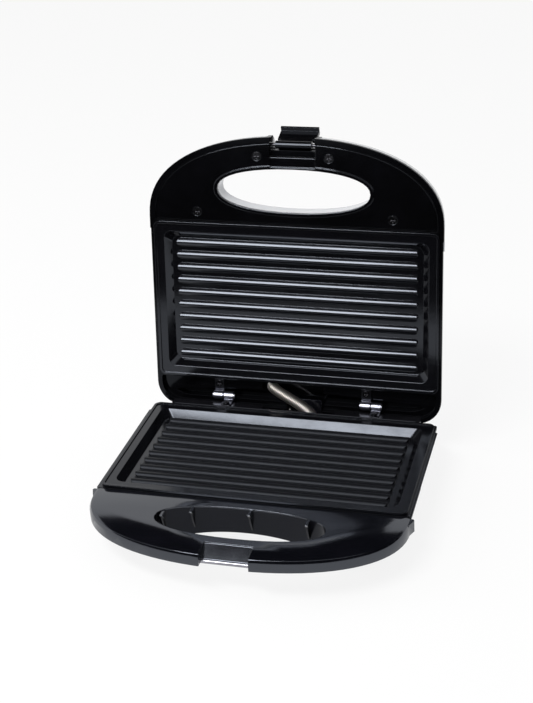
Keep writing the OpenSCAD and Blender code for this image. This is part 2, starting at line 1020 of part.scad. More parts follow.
route = concat(
    [lid_mouth - conduit_in * lid_out],
    [for (i = [0:conduit_steps]) bend(i / conduit_steps)],
    [conduit_base - [0, 0, conduit_in]]
);

function run_to(i) = i == 0 ? 0 : run_to(i - 1) + norm(route[i] - route[i - 1]);

runs = [for (i = [0:len(route) - 1]) run_to(i)];
route_l = runs[len(runs) - 1];

// The point at a length along the route
function at(s) = [
    for (k = [0:2]) lookup(s, [for (i = [0:len(route) - 1]) [runs[i], route[i][k]]])
];

function heading(s) = unit(at(min(s + 0.8, route_l)) - at(max(s - 0.8, 0)));

// A direction square to the route that never meets its heading
function side_of(s) = unit(cross(heading(s), [-0.6, 0.5, 0.62]));

function around(s, a, r) =
    at(s) + r * (cos(a) * side_of(s) + sin(a) * cross(heading(s), side_of(s)));

coil_r = conduit_r - wire_r;
curls = floor(route_l / curl_pitch) - 1;
coil_rings = curls * curl_rings;
coil = [
    for (i = [0:coil_rings])
        around(i * curl_pitch / curl_rings + curl_pitch / 2, i * 360 / curl_rings, coil_r)
];
coil_gap = min([
    for (i = [0:coil_rings - curl_rings], k = [-1:1])
        if (i + curl_rings + k <= coil_rings) norm(coil[i + curl_rings + k] - coil[i])
]) - 2 * wire_r;

// A ring of the wire, square to the coil there
function coil_ring(i) =
    let (
        s = i * curl_pitch / curl_rings + curl_pitch / 2,
        along = unit(coil[min(i + 1, coil_rings)] - coil[max(i - 1, 0)]),
        out = unit(coil[i] - at(s)),
        up = unit(cross(along, out)),
        flat = cross(up, along)
    )
    [
        for (j = [0:curl_sides - 1])
            let (b = j * 360 / curl_sides)
            coil[i] + wire_r * (cos(b) * flat + sin(b) * up)
    ];

function liner_ring(i) =
    [for (j = [0:liner_sides - 1]) around(i * route_l / liner_steps, j * 360 / liner_sides, liner_r)];

// Faces of a tube that is given as rings of points
function tube_faces(rings, sides) = concat(
    [
        for (i = [0:rings - 1], j = [0:sides - 1])
            let (here = i * sides, next = here + sides, k = (j + 1) % sides)
            each [[here + j, next + j, here + k], [here + k, next + j, next + k]]
    ],
    [[for (j = [0:sides - 1]) j], [for (j = [sides - 1:-1:0]) rings * sides + j]]
);

module conduit_coil() {
    echo(least_gap_between_curls = coil_gap);
    color("#c9c4bd")
        in_base()
            polyhedron([for (i = [0:coil_rings]) each coil_ring(i)],
                       tube_faces(coil_rings, curl_sides));
}

module conduit_liner() {
    color("#3a3a3c")
        in_base()
            polyhedron([for (i = [0:liner_steps]) each liner_ring(i)],
                       tube_faces(liner_steps, liner_sides));
}

// ---- Lid, drawn closed ----

// Body part of the lid shell
module lid_body(inset) {
    step = lid_draft * 14;
    hull() {
        slab(outline(lid_half - inset, rear_reach - inset, -plate_d - 2 + inset,
                     lid_r - inset, 8), shell_z - (inset > 0 ? 1 : 0));
        slab(outline(lid_half - inset - 0.4, rear_reach - inset - 0.4, -plate_d - 2 + inset,
                     lid_r - inset, 8), shell_z + 3);
        slab(outline(lid_half - inset - step - 1, rear_reach - inset - step - 1,
                     -plate_d + 2 + inset, lid_r - inset, 12), lid_top - 14);
        slab(outline(lid_half - inset - 2 * step - 3, rear_reach - inset - 2 * step - 1,
                     -plate_d + 8 + inset, lid_r - inset, 14), lid_top - 3 - inset * 0.5);
        slab(outline(lid_half - inset - 2 * step - 8, rear_reach - inset - 2 * step - 5,
                     -plate_d + 13 + inset, lid_r - inset, 14), lid_top - inset - skin);
    }
}

// Handle part of the lid shell
module lid_grip(inset) {
    back = -plate_d + 14 + inset;
    hull() {
        slab(handle(inset, back), shell_z - (inset > 0 ? 1 : 0));
        slab(handle(inset + 1, back), grip_z - 5);
        slab(handle(inset + 3, back), grip_z - 1.8 - inset * 0.3);
        slab(handle(inset + 6.5, back), grip_z - inset - skin);
    }
}

module lid_hole(grow, low, high) {
    prism(oval(lid_hole_half + grow, lid_hole_deep + grow, hole_y + 0.5), low, high);
}

// Room for the latch: its barrel, its arm at rest and the way it swings out
module latch_room(half, sill = notch_back) {
    far = through * 6;
    profile(0, half) {
        translate([-far, -through]) square([far + notch_back, through + shell_z + 7]);
        translate([-far, -through]) square([far + latch_y - barrel_r, 2 * through]);
        translate([-far, 0]) square([far + sill, shell_z + 1]);
        translate([latch_y, latch_z]) rotate(-latch_swing)
            translate([arm_out - slip, -through]) square([2 * through + slip, through]);
    }
}

// Places a latch drawn hooked about its own axis at its rest angle
module in_latch_rest() {
    translate([0, latch_y, latch_z]) rotate([-latch_swing, 0, 0]) children();
}

module lid_shell() {
    color("#d4d5d8")
        in_lid()
            difference() {
                union() {
                    lid_body(0);
                    lid_grip(0);
                }
                difference() {
                    union() {
                        lid_body(shell_t);
                        lid_grip(shell_t);
                    }
                    lid_hole(shell_t, 0, grip_z);
                    block([-cradle_half - 2 * shell_t, -through * 5, cradle_top + slip],
                          [cradle_half + 2 * shell_t, cradle_back + shell_t, grip_z]);
                    for (p = panel_screws) post(p[0], p[1], boss_r, panel_z + panel_t, grip_z);
                    for (side = [-1, 1]) post(side * lens_x, lens_y, lens_r + 1.6,
                                              lid_top - lens_h, lid_top);
                }
                lid_hole(0, 0, through);
                block([-cradle_half - slip, -through * 5, 0],
                      [cradle_half + slip, cradle_back + slip, cradle_top + slip]);
                latch_room(notch_half);
                for (p = panel_screws)
                    post(p[0], p[1], screw_r, panel_z, grip_z - 2 * shell_t);
                for (side = [-1, 1]) post(side * lens_x, lens_y, lens_r + fit,
                                          lid_top - through / 4, lid_top + 1);
                conduit_gap();
            }
}

// Gap in the rear wall of the lid that the conduit stands in when it is open
module conduit_gap() {
    block([gap_left, rear_reach - gap_deep, 0], [gap_right, rear_reach + 5, recess_z]);
}

// Rim and rear deck moulding of the lid
module lid_frame() {
    inner = 2.6;
    tongue_z = shell_z + 3.2;
    color("#17181a")
        in_lid()
            difference() {
                union() {
                    // Band that shows round the plate and the handle
                    prism(outline(lid_half, rear_reach, -plate_d - 2, lid_r, 2), lid_z, shell_z);
                    prism(handle(0, -plate_d + 6), lid_z, shell_z);
                    // Tongue inside the shell
                    prism(outline(lid_half - inner, rear_reach - inner, -plate_d - 4,
                                  lid_r - inner, 2), shell_z - seam, tongue_z);
                    prism(handle(inner, -plate_d + 6), shell_z - seam, tongue_z - 2);
                    rear_deck();
                    cradle();
                }
                // Seat of the plate and the opening below it
                prism(outline(plate_half + slip, slip, -plate_d - slip,
                              plate_r + slip, plate_r + slip), 0, lid_z + plate_t);
                prism(outline(ledge_half, -ledge_inset, ledge_inset - plate_d, tray_r, tray_r),
                      0, shell_z + 5);
                translate([0, 0, lid_z + plate_t + ledge_t])
                    linear_extrude(5)
                        rounded(tray_half + tray_rim + slip, tray_back + tray_rim + slip,
                                tray_front - tray_rim - slip, tray_r + tray_rim + slip);
                // Seat of the handle panel and the hollow above it
                prism(handle(panel_inset - slip, panel_back + slip), 0, panel_z + panel_t);
                difference() {
                    prism(handle(panel_inset + 3, panel_back - 4), 0, shell_z + 5);
                    cradle();
                }
                for (p = panel_screws) post(p[0], p[1], boss_r + slip, 0, through);
                rear_room();
                latch_room(notch_half, cradle_back + 0.1);
                for (side = [-1, 1])
                    post(lid_knuckle(side), hinge_screw_y, thread_r, lid_deck_z - 1,
                         lid_deck_z + 7);
                translate([-cradle_half - 1, latch_y, latch_z])
                    rotate([0, 90, 0]) cylinder(r = latch_pin_r + fit, h = 2 * cradle_half + 2);
                post(conduit_lid[0], conduit_lid[1], bush_r - flange_t, recess_z - 1, through);
                conduit_gap();
            }
}

// Raised floor behind the plate, with the deeper trough at its rear
module rear_deck() {
    difference() {
        prism(outline(lid_half - deck_inset, rear_reach - deck_inset, -3, lid_r, 2),
              lid_z, recess_z + wall);
        difference() {
            block([-lid_half + 9, -6, lid_deck_z + wall], [lid_half - 9, deck_bow_y - 1, through]);
            for (side = [-1, 1])
                post(lid_knuckle(side), hinge_screw_y - 1, stud_r, lid_deck_z, recess_z);
            block([trough_left - wall, -7, 0], [trough_right + wall, deck_bow_y, through + 1]);
        }
    }
}

// What is open below the rear deck
module rear_room() {
    side = lid_half - deck_inset - shell_t;
    back = rear_reach - deck_inset - shell_t;
    prism(outline(lid_half - low_inset, rear_reach - low_inset, deck_front + 0.4,
                  lid_r - low_inset, 2), 0, lid_deck_z);
    intersection() {
        prism(outline(side, back, 3, lid_r - shell_t, 2), 0, recess_z);
        translate([0, deck_bow_y + deck_bow, -1]) cylinder(r = deck_bow, h = through, $fn = 400);
    }
    block([trough_left, deck_front + 0.4, 0], [trough_right, back, recess_z]);
}

// Block at the tip of the frame that carries the latch pin
module cradle() {
    intersection() {
        block([-cradle_half, -through * 5, lid_z], [cradle_half, cradle_back, cradle_top]);
        prism(handle(0.6, -plate_d), lid_z, through);
    }
}

module lid_handle_panel() {
    color("#141416")
        in_lid()
            difference() {
                union() {
                    prism(handle(panel_inset, panel_back), panel_z, panel_z + panel_t);
                    lid_hole(rim_w, panel_z - rim_h, panel_z + panel_t);
                }
                lid_hole(0, 0, through);
                block([-notch_half - slip, -through * 5, 0],
                      [notch_half + slip, cradle_back + slip, through]);
                block([-cradle_half - slip, -through * 5, panel_z + 0.8],
                      [cradle_half + slip, cradle_back + slip, through]);
                block([-notch_half, -through * 5, 0],
                      [notch_half, hole_y - lid_hole_deep - 0.75, panel_z + panel_seat]);
                for (p = panel_screws) {
                    post(p[0], p[1], screw_r + slip, 0, through);
                    post(p[0], p[1], head_r + slip, 0, panel_z + panel_seat);
                }
            }
}

module lid_grill_plate() {
    in_lid() facing() grill_plate();
}

module lid_heating_rod() {
    in_lid() facing() heating_rod();
}

module lid_reflector() {
    in_lid() facing() reflector();
}

module lid_plate_screws() {
    in_lid() facing() plate_screws();
}

module lid_panel_screws() {
    color("#4a4b4e")
        in_lid()
            for (p = panel_screws) screw(p[0], p[1], panel_z + panel_seat, 7, high = panel_head_h);
}

// Bimetal disc on the lid's reflector
module thermostat() {
    seat = plate_gap + tray_depth + tray_t;
    color("#c8c2b4")
        in_lid()
            difference() {
                union() {
                    post(0, plate_mid, disc_r, seat, seat + disc_h);
                    translate([0, plate_mid, seat])
                        linear_extrude(strap[2]) square([strap[0], strap[1]], center = true);
                    for (side = [-1, 1])
                        translate([side * 4, plate_mid, seat + disc_h + 2])
                            cube([0.8, 6, 5], center = true);
                }
                for (side = [-1, 1])
                    post(side * strap_screw_x, plate_mid, screw_r + slip, seat - 1, seat + 2);
            }
}

module thermostat_screws() {
    seat = plate_gap + tray_depth + tray_t + strap[2];
    color("#a8abb0")
        in_lid()
            for (side = [-1, 1])
                translate([0, 0, seat]) mirror([0, 0, 1])
                    screw(side * strap_screw_x, plate_mid, 0, strap[2] - seam, high = 1.4);
}

module lens(x) {
    post(x, lens_y, lens_r, lid_top - lens_h, lid_top + 0.6);
}

module power_lens() {
    color("#b3221d") in_lid() lens(-lens_x);
}

module ready_lens() {
    color("#2f8a3e") in_lid() lens(lens_x);
}

module latch_pin() {
    color("#a9adb4")
        in_lid()
            translate([-cradle_half + 0.4, latch_y, latch_z])
                rotate([0, 90, 0]) cylinder(r = latch_pin_r, h = 2 * cradle_half - 0.8);
}

module latch() {
    grip_step = 2.6;
    color("#101012")
        in_lid()
            in_latch_rest()
                difference() {
                    union() {
                        profile(0, latch_half) circle(barrel_r);
                        profile(0, arm_half)
                            polygon([
                                [arm_out, tip_z - 1],
                                [arm_out, -0.6],
                                [-barrel_r * 0.6, barrel_r * 0.8],
                                [arm_out + arm_t, -1],
                                [arm_out + arm_t, tip_z - 1]
                            ]);
                        profile(0, tip_half)
                            polygon([
                                [arm_out, tip_z],
                                [arm_out + arm_t, tip_z],
                                [arm_out + arm_t, hook_z],
                                [hook_in, hook_z],
                                [hook_in, hook_z - hook_t],
                                [arm_out + 0.8, hook_z - hook_t],
                                [arm_out, hook_z - hook_t + 0.8]
                            ]);
                    }
                    translate([-tip_half - 1, 0, 0]) rotate([0, 90, 0])
                        cylinder(r = latch_pin_r + fit, h = 2 * tip_half + 2);
                    for (i = [1:2])
                        block([-tip_half + 1.5, arm_out - 1, tip_z - i * grip_step - 0.5],
                              [tip_half - 1.5, arm_out + 0.5, tip_z - i * grip_step]);
                }
}

base_housing();
base_handle_cover();
base_grill_plate();
base_heating_rod();
base_reflector();
base_plate_screws();
base_cover_screws();
rubber_feet();
inlet_bush();
terminal_block();
latch_strike();
hinge_base_leaf_left();
hinge_base_leaf_right();
hinge_pins();
hinge_base_screws();
base_conduit_bush();
conduit_coil();
conduit_liner();
lid_frame();
lid_shell();
lid_handle_panel();
lid_grill_plate();
lid_heating_rod();
lid_reflector();
lid_plate_screws();
lid_panel_screws();
thermostat();
thermostat_screws();
power_lens();
ready_lens();
hinge_lid_leaf_left();
hinge_lid_leaf_right();
hinge_lid_screws();
lid_conduit_bush();
latch_pin();
latch();
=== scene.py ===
"""Sandwich toaster, standing open: finishes, wiring sleeve, studio and camera."""

import logging
import math
from abc import ABC, abstractmethod
from dataclasses import dataclass, field
from enum import Enum
from typing import Callable, Protocol, Sequence

import bpy
import numpy as np
from mathutils import Matrix, Vector


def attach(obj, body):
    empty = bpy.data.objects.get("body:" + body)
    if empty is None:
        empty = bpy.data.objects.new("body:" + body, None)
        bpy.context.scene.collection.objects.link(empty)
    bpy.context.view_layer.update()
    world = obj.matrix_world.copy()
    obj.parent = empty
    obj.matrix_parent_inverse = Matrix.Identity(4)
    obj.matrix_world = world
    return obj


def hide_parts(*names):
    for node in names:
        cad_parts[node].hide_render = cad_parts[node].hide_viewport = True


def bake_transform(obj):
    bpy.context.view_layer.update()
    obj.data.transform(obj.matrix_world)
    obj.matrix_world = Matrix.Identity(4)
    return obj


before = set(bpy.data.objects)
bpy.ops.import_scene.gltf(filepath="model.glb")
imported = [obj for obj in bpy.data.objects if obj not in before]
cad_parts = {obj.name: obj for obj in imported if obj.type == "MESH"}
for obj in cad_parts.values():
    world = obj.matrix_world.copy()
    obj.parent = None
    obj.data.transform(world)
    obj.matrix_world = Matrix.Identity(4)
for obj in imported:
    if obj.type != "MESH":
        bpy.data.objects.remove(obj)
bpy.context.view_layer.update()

log = logging.getLogger("sandwich_toaster")

MM = 0.001
IMAGE_SIZE = (533, 703)
DRAWING_ZERO = Vector((0.0, 63.74, 34.0))

Colour = tuple[float, float, float]
Point = tuple[float, float, float]
Span = tuple[float, float]
Material = bpy.types.Material
Node = bpy.types.Node
NodeTree = bpy.types.NodeTree
Socket = bpy.types.NodeSocket
Thing = bpy.types.Object
Value = float | Sequence[float] | Socket
Values = dict[str, Value]

WHITE: Colour = (1.0, 1.0, 1.0)
DARK: Colour = (0.0, 0.0, 0.0)
# The pin line of both hinges in the part's drawing, along and up
HINGE_LINE: Span = (14.6, 3.2)


def placed(x: float, y: float, z: float) -> Vector:
    """Turns a point of the part's drawing into the shared frame.

    Args:
        x: Millimetres to the right of the middle.
        y: Millimetres behind the back edge of the plates.
        z: Millimetres above the lower plate's rim.

    Returns:
        The point in metres.
    """
    return (Vector((x, y, z)) + DRAWING_ZERO) * MM


def in_frame(rings: Sequence) -> np.ndarray:
    """Returns rings of drawing points in the shared frame, in metres."""
    return (np.array(rings) + np.array(DRAWING_ZERO)) * MM


def rgba(colour: Colour) -> tuple[float, float, float, float]:
    """Returns a colour as a socket takes it, fully opaque."""
    return (*colour, 1.0)


class Body(str, Enum):
    """The bodies of the toaster that new pieces ride on."""

    BASE = "base"
    LID = "lid"


class Run(Enum):
    """The way that drawn or rolled metal shows its lines."""

    ALONG_X = (0.04, 1.0, 1.0)
    ALONG_Y = (1.0, 0.04, 1.0)


# ---- Node groups shared by the finishes ----


class Tree:
    """A node tree with short calls for its nodes and links."""

    MIX_SHARE, MIX_FIRST, MIX_SECOND, MIX_RESULT = 0, 6, 7, 2

    def __init__(self, tree: NodeTree) -> None:
        """Keeps the tree and starts it empty."""
        self.tree = tree
        self.tree.nodes.clear()

    def feed(self, into: Socket, value: Value) -> None:
        """Gives an input its source or its plain value.

        Args:
            into: The input socket.
            value: An output socket to link, or a plain value to set.
        """
        if isinstance(value, Socket):
            self.tree.links.new(value, into)
        else:
            into.default_value = value

    def feed_all(self, node: Node, values: Values) -> None:
        """Gives several inputs of a node their sources or plain values.

        Args:
            node: The node.
            values: The source or plain value of each input by its name.
        """
        for name, value in values.items():
            self.feed(node.inputs[name], value)

    def add(self, kind: str, **values: object) -> Node:
        """Adds a node.

        Args:
            kind: The node's type, without "ShaderNode" where it starts with that.
            values: Attributes by name, or input sockets by name with _ for a space.

        Returns:
            The new node.
        """
        full = kind if kind.startswith("Node") else "ShaderNode" + kind
        node = self.tree.nodes.new(full)
        for key, value in values.items():
            if hasattr(node, key):
                setattr(node, key, value)
            else:
                self.feed(node.inputs[key.replace("_", " ")], value)
        return node

    def place(self) -> Socket:
        """Returns the place on the object, from its own coordinates."""
        return self.add("TexCoord").outputs["Object"]

    def add_group(self, group: NodeTree, values: Values) -> dict[str, Socket]:
        """Places a shared node group with this material's own values.

        Args:
            group: The group's tree.
            values: The source or plain value of each input by its name.

        Returns:
            The group's outputs by name.
        """
        node = self.add("Group")
        node.node_tree = group
        self.feed_all(node, {"Vector": self.place(), **values})
        return dict(node.outputs.items())

    def math(self, operation: str, a: Value, b: Value = 0.0, clamp: bool = False) -> Socket:
        """Adds a Math node.

        Args:
            operation: Its operation.
            a: The first value.
            b: The second value, where the operation has one.
            clamp: Whether the result is kept between 0 and 1.

        Returns:
            Its output.
        """
        node = self.add("Math", operation=operation, use_clamp=clamp)
        for socket, value in zip(node.inputs, (a, b)):
            self.feed(socket, value)
        return node.outputs[0]

    def spread(self, value: Value, reach: Span, a: Value = 0.0, b: Value = 1.0) -> Socket:
        """Maps a value linearly onto new ends with a Map Range node.

        Args:
            value: The value.
            reach: The lowest and highest value that are told apart.
            a: What the lowest becomes.
            b: What the highest becomes.

        Returns:
            The node's output.
        """
        low, high = reach
        node = self.add("MapRange", clamp=True, Value=value, From_Min=low, From_Max=high,
                        To_Min=a, To_Max=b)
        return node.outputs[0]

    def noise(self, vector: Value, scale: Value, detail: float = 2.0) -> Socket:
        """Adds a Noise Texture.

        Args:
            vector: The place on the surface.
            scale: How fine the noise is.
            detail: How many finer layers it has.

        Returns:
            Its value.
        """
        node = self.add("TexNoise", noise_dimensions="3D", Vector=vector, Scale=scale,
                        Detail=detail)
        return node.outputs["Fac"]

    def mixed(self, share: Value, first: Value, second: Value) -> Socket:
        """Mixes two colours.

        Args:
            share: How much of the second colour shows.
            first: The first colour.
            second: The second colour.

        Returns:
            The mixed colour.
        """
        node = self.add("Mix", data_type="RGBA")
        self.feed(node.inputs[self.MIX_SHARE], share)
        self.feed(node.inputs[self.MIX_FIRST], first)
        self.feed(node.inputs[self.MIX_SECOND], second)
        return node.outputs[self.MIX_RESULT]

    def split(self, vector: Socket) -> list[Socket]:
        """Returns the three parts of a vector."""
        return list(self.add("SeparateXYZ", Vector=vector).outputs)


@dataclass(frozen=True)
class GroupSocket:
    """One named socket on a node group."""

    name: str
    kind: str = "NodeSocketFloat"
    value: float | None = None


def new_group(
    name: str,
    inputs: Sequence[GroupSocket],
    outputs: Sequence[GroupSocket],
    fill: Callable[[Tree, Node, Node], None],
) -> NodeTree:
    """Builds a shader node group with named sockets.

    Args:
        name: The group's name.
        inputs: Its inputs in order.
        outputs: Its outputs in order.
        fill: Adds the nodes between the group's input node and output node.

    Returns:
        The group's tree.
    """
    tree = bpy.data.node_groups.new(name, "ShaderNodeTree")
    for sockets, way in ((inputs, "INPUT"), (outputs, "OUTPUT")):
        for item in sockets:
            socket = tree.interface.new_socket(item.name, in_out=way, socket_type=item.kind)
            if item.value is not None:
                socket.default_value = item.value
    work = Tree(tree)
    fill(work, work.add("NodeGroupInput"), work.add("NodeGroupOutput"))
    return tree


# Noise scales of the shared skins, and the noise levels between which an effect comes in
PATCH_SCALE, SMEAR_SCALE = 38.0, 150.0
PIT_SCALE, CAST_SCALE = 2600.0, 95.0
PATCH_LEVELS: Span = (0.42, 0.72)
PIT_LEVELS: Span = (0.62, 0.74)
CAST_LEVELS: Span = (0.35, 0.7)
FLECK_EDGE: Span = (0.05, 0.14)
PIT_DEPTH = -0.6
LINE_MIDDLE, LINE_ROUGHNESS = 0.5, 0.35


def fill_moulded(t: Tree, given: Node, made: Node) -> None:
    """Fills the group for a moulded skin: fine tooth, slow waves and rubbed patches.

    Args:
        t: The group's tree.
        given: Its input node.
        made: Its output node.
    """
    at = given.outputs["Vector"]
    tooth = t.noise(at, given.outputs["Tooth Scale"], detail=3.0)
    waves = t.noise(at, given.outputs["Wave Scale"], detail=1.0)
    patches = t.noise(at, PATCH_SCALE, detail=4.0)
    smears = t.noise(at, SMEAR_SCALE, detail=5.0)
    high = t.math("MULTIPLY", tooth, given.outputs["Tooth Depth"])
    slow = t.math("MULTIPLY", waves, given.outputs["Wave Depth"])
    rub = t.math("MULTIPLY", t.spread(patches, PATCH_LEVELS), smears)
    change = t.math("MULTIPLY", rub, given.outputs["Rubbing"])
    rough = t.math("ADD", given.outputs["Roughness"], change, clamp=True)
    t.feed_all(made, {"Height": t.math("ADD", high, slow), "Roughness": rough, "Rubbed": rub})


def fill_drawn(t: Tree, given: Node, made: Node) -> None:
    """Fills the group for drawn or rolled metal: long lines, small pits and a dull cast.

    Args:
        t: The group's tree.
        given: Its input node.
        made: Its output node.
    """
    at = given.outputs["Vector"]
    stretch = t.add("VectorMath", operation="MULTIPLY")
    t.feed(stretch.inputs[0], at)
    t.feed(stretch.inputs[1], given.outputs["Stretch"])
    lines = t.noise(stretch.outputs[0], given.outputs["Line Scale"], detail=6.0)
    pits = t.noise(at, PIT_SCALE)
    cast = t.noise(at, CAST_SCALE, detail=3.0)
    change = t.math("MULTIPLY", t.math("SUBTRACT", lines, LINE_MIDDLE), LINE_ROUGHNESS)
    rough = t.math("ADD", given.outputs["Roughness"], change, clamp=True)
    shade = t.mixed(t.spread(cast, CAST_LEVELS), given.outputs["Colour"],
                    given.outputs["Dull Colour"])
    height = t.math("ADD", lines, t.spread(pits, PIT_LEVELS, 0.0, PIT_DEPTH))
    t.feed_all(made, {"Height": height, "Roughness": rough, "Colour": shade})


def fill_dust(t: Tree, given: Node, made: Node) -> None:
    """Fills the group for specks: small pale flecks strewn over a dark colour.

    Args:
        t: The group's tree.
        given: Its input node.
        made: Its output node.
    """
    cells = t.add("TexVoronoi", feature="F1", Vector=given.outputs["Vector"],
                  Scale=given.outputs["Fleck Scale"])
    near = t.spread(cells.outputs["Distance"], FLECK_EDGE, 1.0, 0.0)
    lot = t.add("SeparateColor", Color=cells.outputs["Color"]).outputs[0]
    mask = t.math("MULTIPLY", near, t.math("LESS_THAN", lot, given.outputs["Share"]))
    shade = t.mixed(mask, given.outputs["Colour"], given.outputs["Fleck Colour"])
    t.feed_all(made, {"Mask": mask, "Colour": shade})


VECTOR = GroupSocket("Vector", "NodeSocketVector")
COLOUR = "NodeSocketColor"


@dataclass
class SurfaceGroups:
    """The node groups that the finishes share."""

    moulded: NodeTree = field(default_factory=lambda: new_group(
        "Moulded skin",
        [VECTOR, GroupSocket("Tooth Scale", value=2400.0), GroupSocket("Tooth Depth", value=0.2),
         GroupSocket("Wave Scale", value=160.0), GroupSocket("Wave Depth", value=0.5),
         GroupSocket("Roughness", value=0.3), GroupSocket("Rubbing", value=0.1)],
        [GroupSocket("Height"), GroupSocket("Roughness"), GroupSocket("Rubbed")],
        fill_moulded))
    drawn: NodeTree = field(default_factory=lambda: new_group(
        "Drawn metal",
        [VECTOR, GroupSocket("Stretch", "NodeSocketVector"),
         GroupSocket("Line Scale", value=1500.0), GroupSocket("Roughness", value=0.3),
         GroupSocket("Colour", COLOUR), GroupSocket("Dull Colour", COLOUR)],
        [GroupSocket("Height"), GroupSocket("Roughness"), GroupSocket("Colour", COLOUR)],
        fill_drawn))
    dust: NodeTree = field(default_factory=lambda: new_group(
        "Flecks",
        [VECTOR, GroupSocket("Fleck Scale", value=700.0), GroupSocket("Share", value=0.2),
         GroupSocket("Colour", COLOUR), GroupSocket("Fleck Colour", COLOUR)],
        [GroupSocket("Mask"), GroupSocket("Colour", COLOUR)],
        fill_dust))


# ---- Finishes ----

COOL_GLOSS: Colour = (0.82, 0.88, 1.0)
COAT_ROUGHNESS = 0.05
EDGE_SAMPLES = 6


@dataclass(frozen=True)
class Finish(ABC):
    """What every finish has: a name, colour, roughness, worn-in edge and depth of grain."""

    name: str
    colour: Colour
    roughness: float
    edge: float = 0.35
    depth: float = 0.02

    @abstractmethod
    def skin(self, t: Tree, groups: SurfaceGroups) -> tuple[Values, Socket]:
        """Adds the nodes that are the finish's own.

        Args:
            t: The material's tree.
            groups: The shared node groups.

        Returns:
            What each input of the shader takes, and the height of the grain.
        """

    def make(self, groups: SurfaceGroups) -> Material:
        """Makes the material, with its grain raised over a softened edge.

        Args:
            groups: The shared node groups.

        Returns:
            The finished material.
        """
        material = bpy.data.materials.new(self.name)
        material.use_nodes = True
        t = Tree(material.node_tree)
        values, height = self.skin(t, groups)
        edge = t.add("Bevel", samples=EDGE_SAMPLES, Radius=self.edge * MM)
        bump = t.add("Bump", Strength=1.0, Distance=self.depth * MM, Height=height,
                     Normal=edge.outputs[0])
        shader = t.add("BsdfPrincipled", Normal=bump.outputs[0])
        t.feed_all(shader, values)
        t.add("OutputMaterial", Surface=shader.outputs[0])
        return material


@dataclass(frozen=True)
class Moulding(Finish):
    """A moulded plastic or rubber skin."""

    tooth_scale: float = 2400.0
    tooth_depth: float = 0.25
    wave_depth: float = 0.6
    rubbing: float = 0.1
    rub_colour: Colour = (0.03, 0.03, 0.032)
    specular: float = 0.5
    coat: float = 0.0

    def skin(self, t: Tree, groups: SurfaceGroups) -> tuple[Values, Socket]:
        """Adds the moulded skin, a little paler where it is rubbed.

        Args:
            t: The material's tree.
            groups: The shared node groups.

        Returns:
            What each input of the shader takes, and the height of the grain.
        """
        made = t.add_group(groups.moulded, {
            "Tooth Scale": self.tooth_scale, "Tooth Depth": self.tooth_depth,
            "Wave Depth": self.wave_depth, "Roughness": self.roughness,
            "Rubbing": self.rubbing,
        })
        return {
            "Base Color": t.mixed(made["Rubbed"], rgba(self.colour), rgba(self.rub_colour)),
            "Roughness": made["Roughness"],
            "Specular IOR Level": self.specular,
            "Specular Tint": rgba(COOL_GLOSS),
            "Coat Weight": self.coat,
            "Coat Roughness": COAT_ROUGHNESS,
        }, made["Height"]


@dataclass(frozen=True)
class Coating(Finish):
    """A sprayed non-stick coating on a cast plate, with fine flecks in it."""

    fleck_colour: Colour = (0.12, 0.12, 0.125)
    fleck_scale: float = 1500.0
    share: float = 0.12
    tooth_scale: float = 1900.0
    tooth_depth: float = 0.35
    wave_scale: float = 260.0
    wave_depth: float = 0.9
    rubbing: float = 0.08
    depth: float = 0.012
    specular: float = 0.5
    field_rough: float = 0.0
    field_y: float = 48.5
    field_x: float = 92.5
    field_middle: float = -62.5
    field_fade: float = 1.5

    def cooking_field(self, t: Tree) -> Socket:
        """Returns a mask of the ribbed field that cooking and wiping have dulled.

        Args:
            t: The material's tree.

        Returns:
            The mask's socket, from 0 outside the field to 1 inside it.
        """
        x, y, _ = t.split(t.place())
        middle = placed(0.0, self.field_middle, 0.0)
        inside = []
        for off, half in ((x, self.field_x), (t.math("SUBTRACT", y, middle.y), self.field_y)):
            edge = (half * MM, (half + self.field_fade) * MM)
            inside.append(t.spread(t.math("ABSOLUTE", off), edge, 1.0, 0.0))
        return t.math("MULTIPLY", *inside)

    def skin(self, t: Tree, groups: SurfaceGroups) -> tuple[Values, Socket]:
        """Adds the sprayed skin, its flecks and the dulled field.

        Args:
            t: The material's tree.
            groups: The shared node groups.

        Returns:
            What each input of the shader takes, and the height of the grain.
        """
        made = t.add_group(groups.moulded, {
            "Tooth Scale": self.tooth_scale, "Tooth Depth": self.tooth_depth,
            "Wave Scale": self.wave_scale, "Wave Depth": self.wave_depth,
            "Roughness": self.roughness, "Rubbing": self.rubbing,
        })
        flecks = t.add_group(groups.dust, {
            "Fleck Scale": self.fleck_scale, "Share": self.share,
            "Colour": rgba(self.colour), "Fleck Colour": rgba(self.fleck_colour),
        })
        rough = made["Roughness"]
        if self.field_rough:
            dulled = t.math("MULTIPLY", self.cooking_field(t), self.field_rough)
            rough = t.math("ADD", rough, dulled, clamp=True)
        return {
            "Base Color": flecks["Colour"],
            "Roughness": rough,
            "Specular IOR Level": self.specular,
            "Specular Tint": rgba(COOL_GLOSS),
        }, made["Height"]


